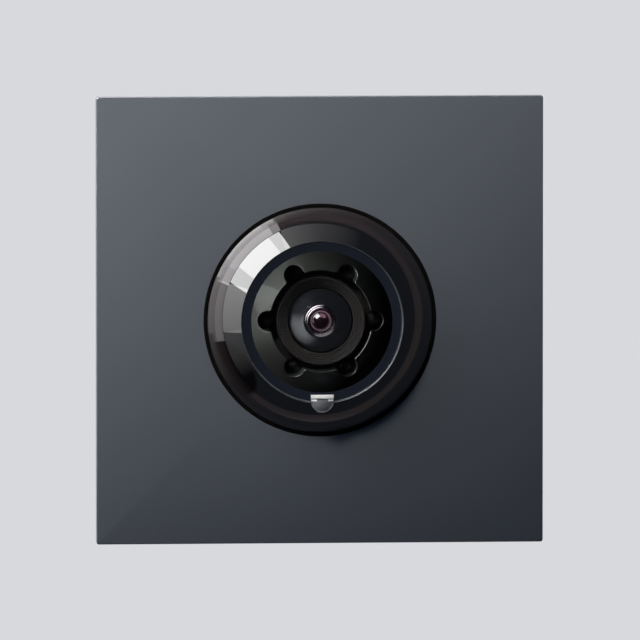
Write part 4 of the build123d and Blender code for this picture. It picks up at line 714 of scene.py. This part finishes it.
# lamps: softboxes round the dome. azimuth runs from the right over the top and offAxis from the dome's axis, both
# from one edge of the box to the other in degrees; distance is in metres; aim is a place on the plate in mm
def softbox(name, azimuth, offAxis, distance, radiance, colour="FFFFFF", spread=180, aim=None, levels=(),
            steps=False):
    middle, tilt = radians(sum(azimuth) / 2), radians(sum(offAxis) / 2)
    wide = 2 * distance * tan(radians(azimuth[1] - azimuth[0]) / 2 * sin(tilt))
    high = 2 * distance * tan(radians(offAxis[1] - offAxis[0]) / 2)
    lamp = bpy.data.lights.new(name, "AREA")
    lamp.shape, lamp.size, lamp.size_y = "RECTANGLE", wide, high
    lamp.energy = radiance * pi * wide * high
    lamp.color = hexColour(colour)[:3]
    lamp.spread = radians(spread)
    if levels:       # brightness along the box, from its low azimuth to its high one
        lamp.use_nodes = True
        tree = lamp.node_tree
        along = addNode(tree, "SeparateXYZ", {0: addNode(tree, "NewGeometry").outputs["Parametric"]}).outputs["X"]
        ramp = addNode(tree, "ValToRGB", {"Fac": along})
        ramp.color_ramp.interpolation = "CONSTANT" if steps else "LINEAR"
        stops = ramp.color_ramp.elements
        while len(stops) > 1:
            stops.remove(stops[-1])
        stops[0].position, stops[0].color = levels[0][0], [levels[0][1]] * 3 + [1]
        for position, level in levels[1:]:
            stops.new(position).color = [level] * 3 + [1]
        tree.links.new(ramp.outputs["Color"], tree.nodes["Emission"].inputs["Strength"])
    holder = bpy.data.objects.new(name, lamp)
    bpy.context.scene.collection.objects.link(holder)
    holder.visible_camera = False
    out = Vector((sin(tilt) * cos(middle), -cos(tilt), sin(tilt) * sin(middle)))
    centre = Vector((0, ballY * mm, 0))
    spot = centre + out * distance
    target = Vector((aim[0] * mm, plateFront * mm, aim[1] * mm)) if aim else centre
    out = (spot - target).normalized()
    side = Vector((-sin(middle), 0, cos(middle)))
    side = (side - out * side.dot(out)).normalized()
    turn = Matrix((side, out.cross(side), out)).transposed().to_4x4()
    holder.matrix_world = Matrix.Translation(spot) @ turn
    return holder


def linkLamp(lamp, pieces, lights=True, blockers=None):
    # the lamp lights only these pieces, or all but these, as a small snooted or flagged light does
    group = bpy.data.collections.new(lamp.name + "Pieces")
    for name in pieces:
        group.objects.link(bpy.data.objects[name])
    for entry in group.collection_objects:
        entry.light_linking.link_state = "INCLUDE" if lights else "EXCLUDE"
    lamp.light_linking.receiver_collection = group
    if blockers is not None:
        group = bpy.data.collections.new(lamp.name + "Blockers")
        for name in blockers:
            group.objects.link(bpy.data.objects[name])
        lamp.light_linking.blocker_collection = group


# panes of the big window light: the upper row shows in the dome's inner band, the lower row in its outer band
panes = {
    "keyUpper": ((112, 160), (61, 81), 0.40, 7.6, {"levels": ((0, 0.7), (0.178, 1), (0.739, 0.68)), "steps": True}),
    "keyLower": ((112, 161), (81.5, 93), 0.40, 3.3, {"colour": "FFFBFF", "levels": ((0, 0.5), (0.12, 1), (0.77, 0.8)),
                                                     "steps": True}),
    "sideUpper": ((158.8, 191.5), (61, 82.3), 0.42, 1.85, {"levels": ((0, 1), (1, 0.6))}),
    "sideLower": ((160, 196), (82.7, 93), 0.42, 1.15, {"colour": "FFFBFC", "levels": ((0, 1), (1, 0.6))}),
    "lowUpper": ((190, 222), (61, 82.3), 0.45, 0.33, {"levels": ((0, 1), (0.5, 0.6), (1, 0))}),
    "topUpper": ((58, 113.5), (61, 81.5), 0.45, 0.72, {"levels": ((0, 0), (0.5, 0.35), (1, 1))}),
}
shaded = ["lensBarrel", "printedBorder", "frontLens"]
for name, (*settings, more) in panes.items():
    linkLamp(softbox(name, *settings, **more), shaded, lights=False)
# a strip with a honeycomb grid: its beam falls off across the plate, from the upper left to the lower right
strip = softbox("gridStrip", (88, 144), (46, 56), 0.42, 2.55, colour="FFF4E8", spread=30, aim=(-8, 62))
linkLamp(strip, shaded + ["clearCover", "ball_front_shell_smooth"], lights=False)

# small snooted lights on single pieces, as a product photographer sets them
snoots = {
    "ballLamp": ("ball_front_shell_smooth", (132, 182), (58, 82), 0.35, 42.0, {"colour": "F3F8EE"}),
    "barrelLamp": ("lensBarrel", (150, 264), (52, 72), 0.35, 5.6,
                   {"levels": ((0, 0.2), (0.35, 1), (0.65, 0.95), (1, 0.2))}),
    "lensLamp": ("frontLens", (104, 150), (33, 61), 0.35, 13.0, {"colour": "FFF4F8"}),
    "lensFill": ("frontLens", (36, 100), (30, 62), 0.35, 2.6, {"colour": "DFA8BA"}),
    "ringLamp": ("lensRetainer", (72, 188), (32, 66), 0.35, 5.0,
                 {"colour": "FFF8FA", "levels": ((0, 0.1), (0.35, 1), (0.7, 0.8), (1, 0.1))}),
    "ringFill": ("lensRetainer", (258, 318), (30, 76), 0.35, 0.5, {}),
    "borderLamp": ("printedBorder", (60, 120), (20, 45), 0.60, 11.0, {}),
    "barrelFill": ("lensBarrel", (60, 120), (20, 45), 0.60, 9.0, {}),
    "funnelFill": ("lensFunnel", (60, 120), (20, 45), 0.60, 2.2, {}),
}
for name, (piece, *settings, more) in snoots.items():
    lamp = softbox(name, *settings, **more)
    linkLamp(lamp, [piece], blockers=["lensFunnel"])
    lamp.visible_glossy = name not in ("barrelFill", "funnelFill")       # these two light softly, without a glint

# two softboxes behind the object light its sides and its back
softbox("rearKey", (95, 160), (112, 148), 0.60, 3.6)
softbox("rearFill", (-40, 30), (112, 148), 0.60, 2.6)

# world: pale behind the object for the camera, dark in front of it for reflections, a little even light
world = bpy.data.worlds.new("studio")
bpy.context.scene.world = world
world.use_nodes = True
tree = world.node_tree
tree.nodes.clear()
path = addNode(tree, "LightPath")
bounced = addNode(tree, "Math", {0: path.outputs["Is Glossy Ray"], 1: path.outputs["Is Transmission Ray"]},
                  operation="MAXIMUM").outputs[0]
direction = addNode(tree, "TexCoord").outputs["Generated"]
depthwise = addNode(tree, "SeparateXYZ", {0: direction}).outputs["Y"]
share = addNode(tree, "MapRange", {"Value": depthwise, "From Min": -1.0, "From Max": 1.0}).outputs["Result"]
ramp = addNode(tree, "ValToRGB", {"Fac": share})      # from in front of the object to behind it
stops = ramp.color_ramp.elements
stops[0].position, stops[0].color = 0.0, hexColour("0A0B0D")
stops[1].position, stops[1].color = 0.70, hexColour("D8D9DD")
for position, colour in ((0.25, "0E0F12"), (0.36, "3B3F47"), (0.477, "3B3F47"), (0.49, "675F63"),
                         (0.60, "675F63")):
    stops.new(position).color = hexColour(colour)
pale = addNode(tree, "Background", {"Color": hexColour("D8D9DD"), "Strength": 1.0})
# a dark corner at the lower left
lowLeft = addNode(tree, "VectorMath", {0: direction, 1: (-0.829, 0.0, -0.559)},
                  operation="DOT_PRODUCT").outputs["Value"]
unlit = addNode(tree, "MapRange", {"Value": lowLeft, "From Min": 0.94, "From Max": 0.955, "To Min": 1.0,
                                   "To Max": 0.1})
mirror = addNode(tree, "Background", {"Color": ramp.outputs["Color"], "Strength": unlit.outputs["Result"]})
even = addNode(tree, "Background", {"Color": hexColour("A4CCFF"), "Strength": 0.075})
rest = addNode(tree, "MixShader", {0: bounced, 1: even.outputs[0], 2: mirror.outputs[0]})
mixed = addNode(tree, "MixShader", {0: path.outputs["Is Camera Ray"], 1: rest.outputs[0], 2: pale.outputs[0]})
addNode(tree, "OutputWorld", {"Surface": mixed.outputs[0]})

# floor: a pale sheet that fades out, below and behind the object, where neither view nor dome shows it
floorSizes = {"height": -0.42, "radius": 0.8, "fade": (0.35, 0.6), "middle": 0.58}
startPiece()
bpy.ops.mesh.primitive_circle_add(vertices=96, radius=floorSizes["radius"], fill_type="NGON",
                                  location=(0, 0, floorSizes["height"]))
floor = bpy.context.object
floor.name = "floor"
bpy.ops.object.transform_apply(location=True, rotation=True, scale=True)
material, tree, shader, place = startMaterial("paintedBoardPale", "D8D9DD", {"Roughness": 0.8})
addGrain(tree, shader, place, 1.5, 0.02)
moved = addNode(tree, "Mapping", {"Vector": place, "Location": (0, -floorSizes["middle"], -floorSizes["height"])})
middle = addNode(tree, "VectorMath", {0: moved.outputs["Vector"]}, operation="LENGTH").outputs["Value"]
start, end = floorSizes["fade"]
fade = addNode(tree, "MapRange", {"Value": middle, "From Min": start, "From Max": end})
empty = addNode(tree, "BsdfTransparent")
mix = addNode(tree, "MixShader", {0: fade.outputs["Result"], 1: shader.outputs["BSDF"], 2: empty.outputs["BSDF"]})
tree.links.new(mix.outputs["Shader"], tree.nodes["Material Output"].inputs["Surface"])
floor.data.materials.append(material)

bpy.context.scene.view_settings.view_transform = "Standard"
print("camera, lamps, world and floor set")

startPiece()
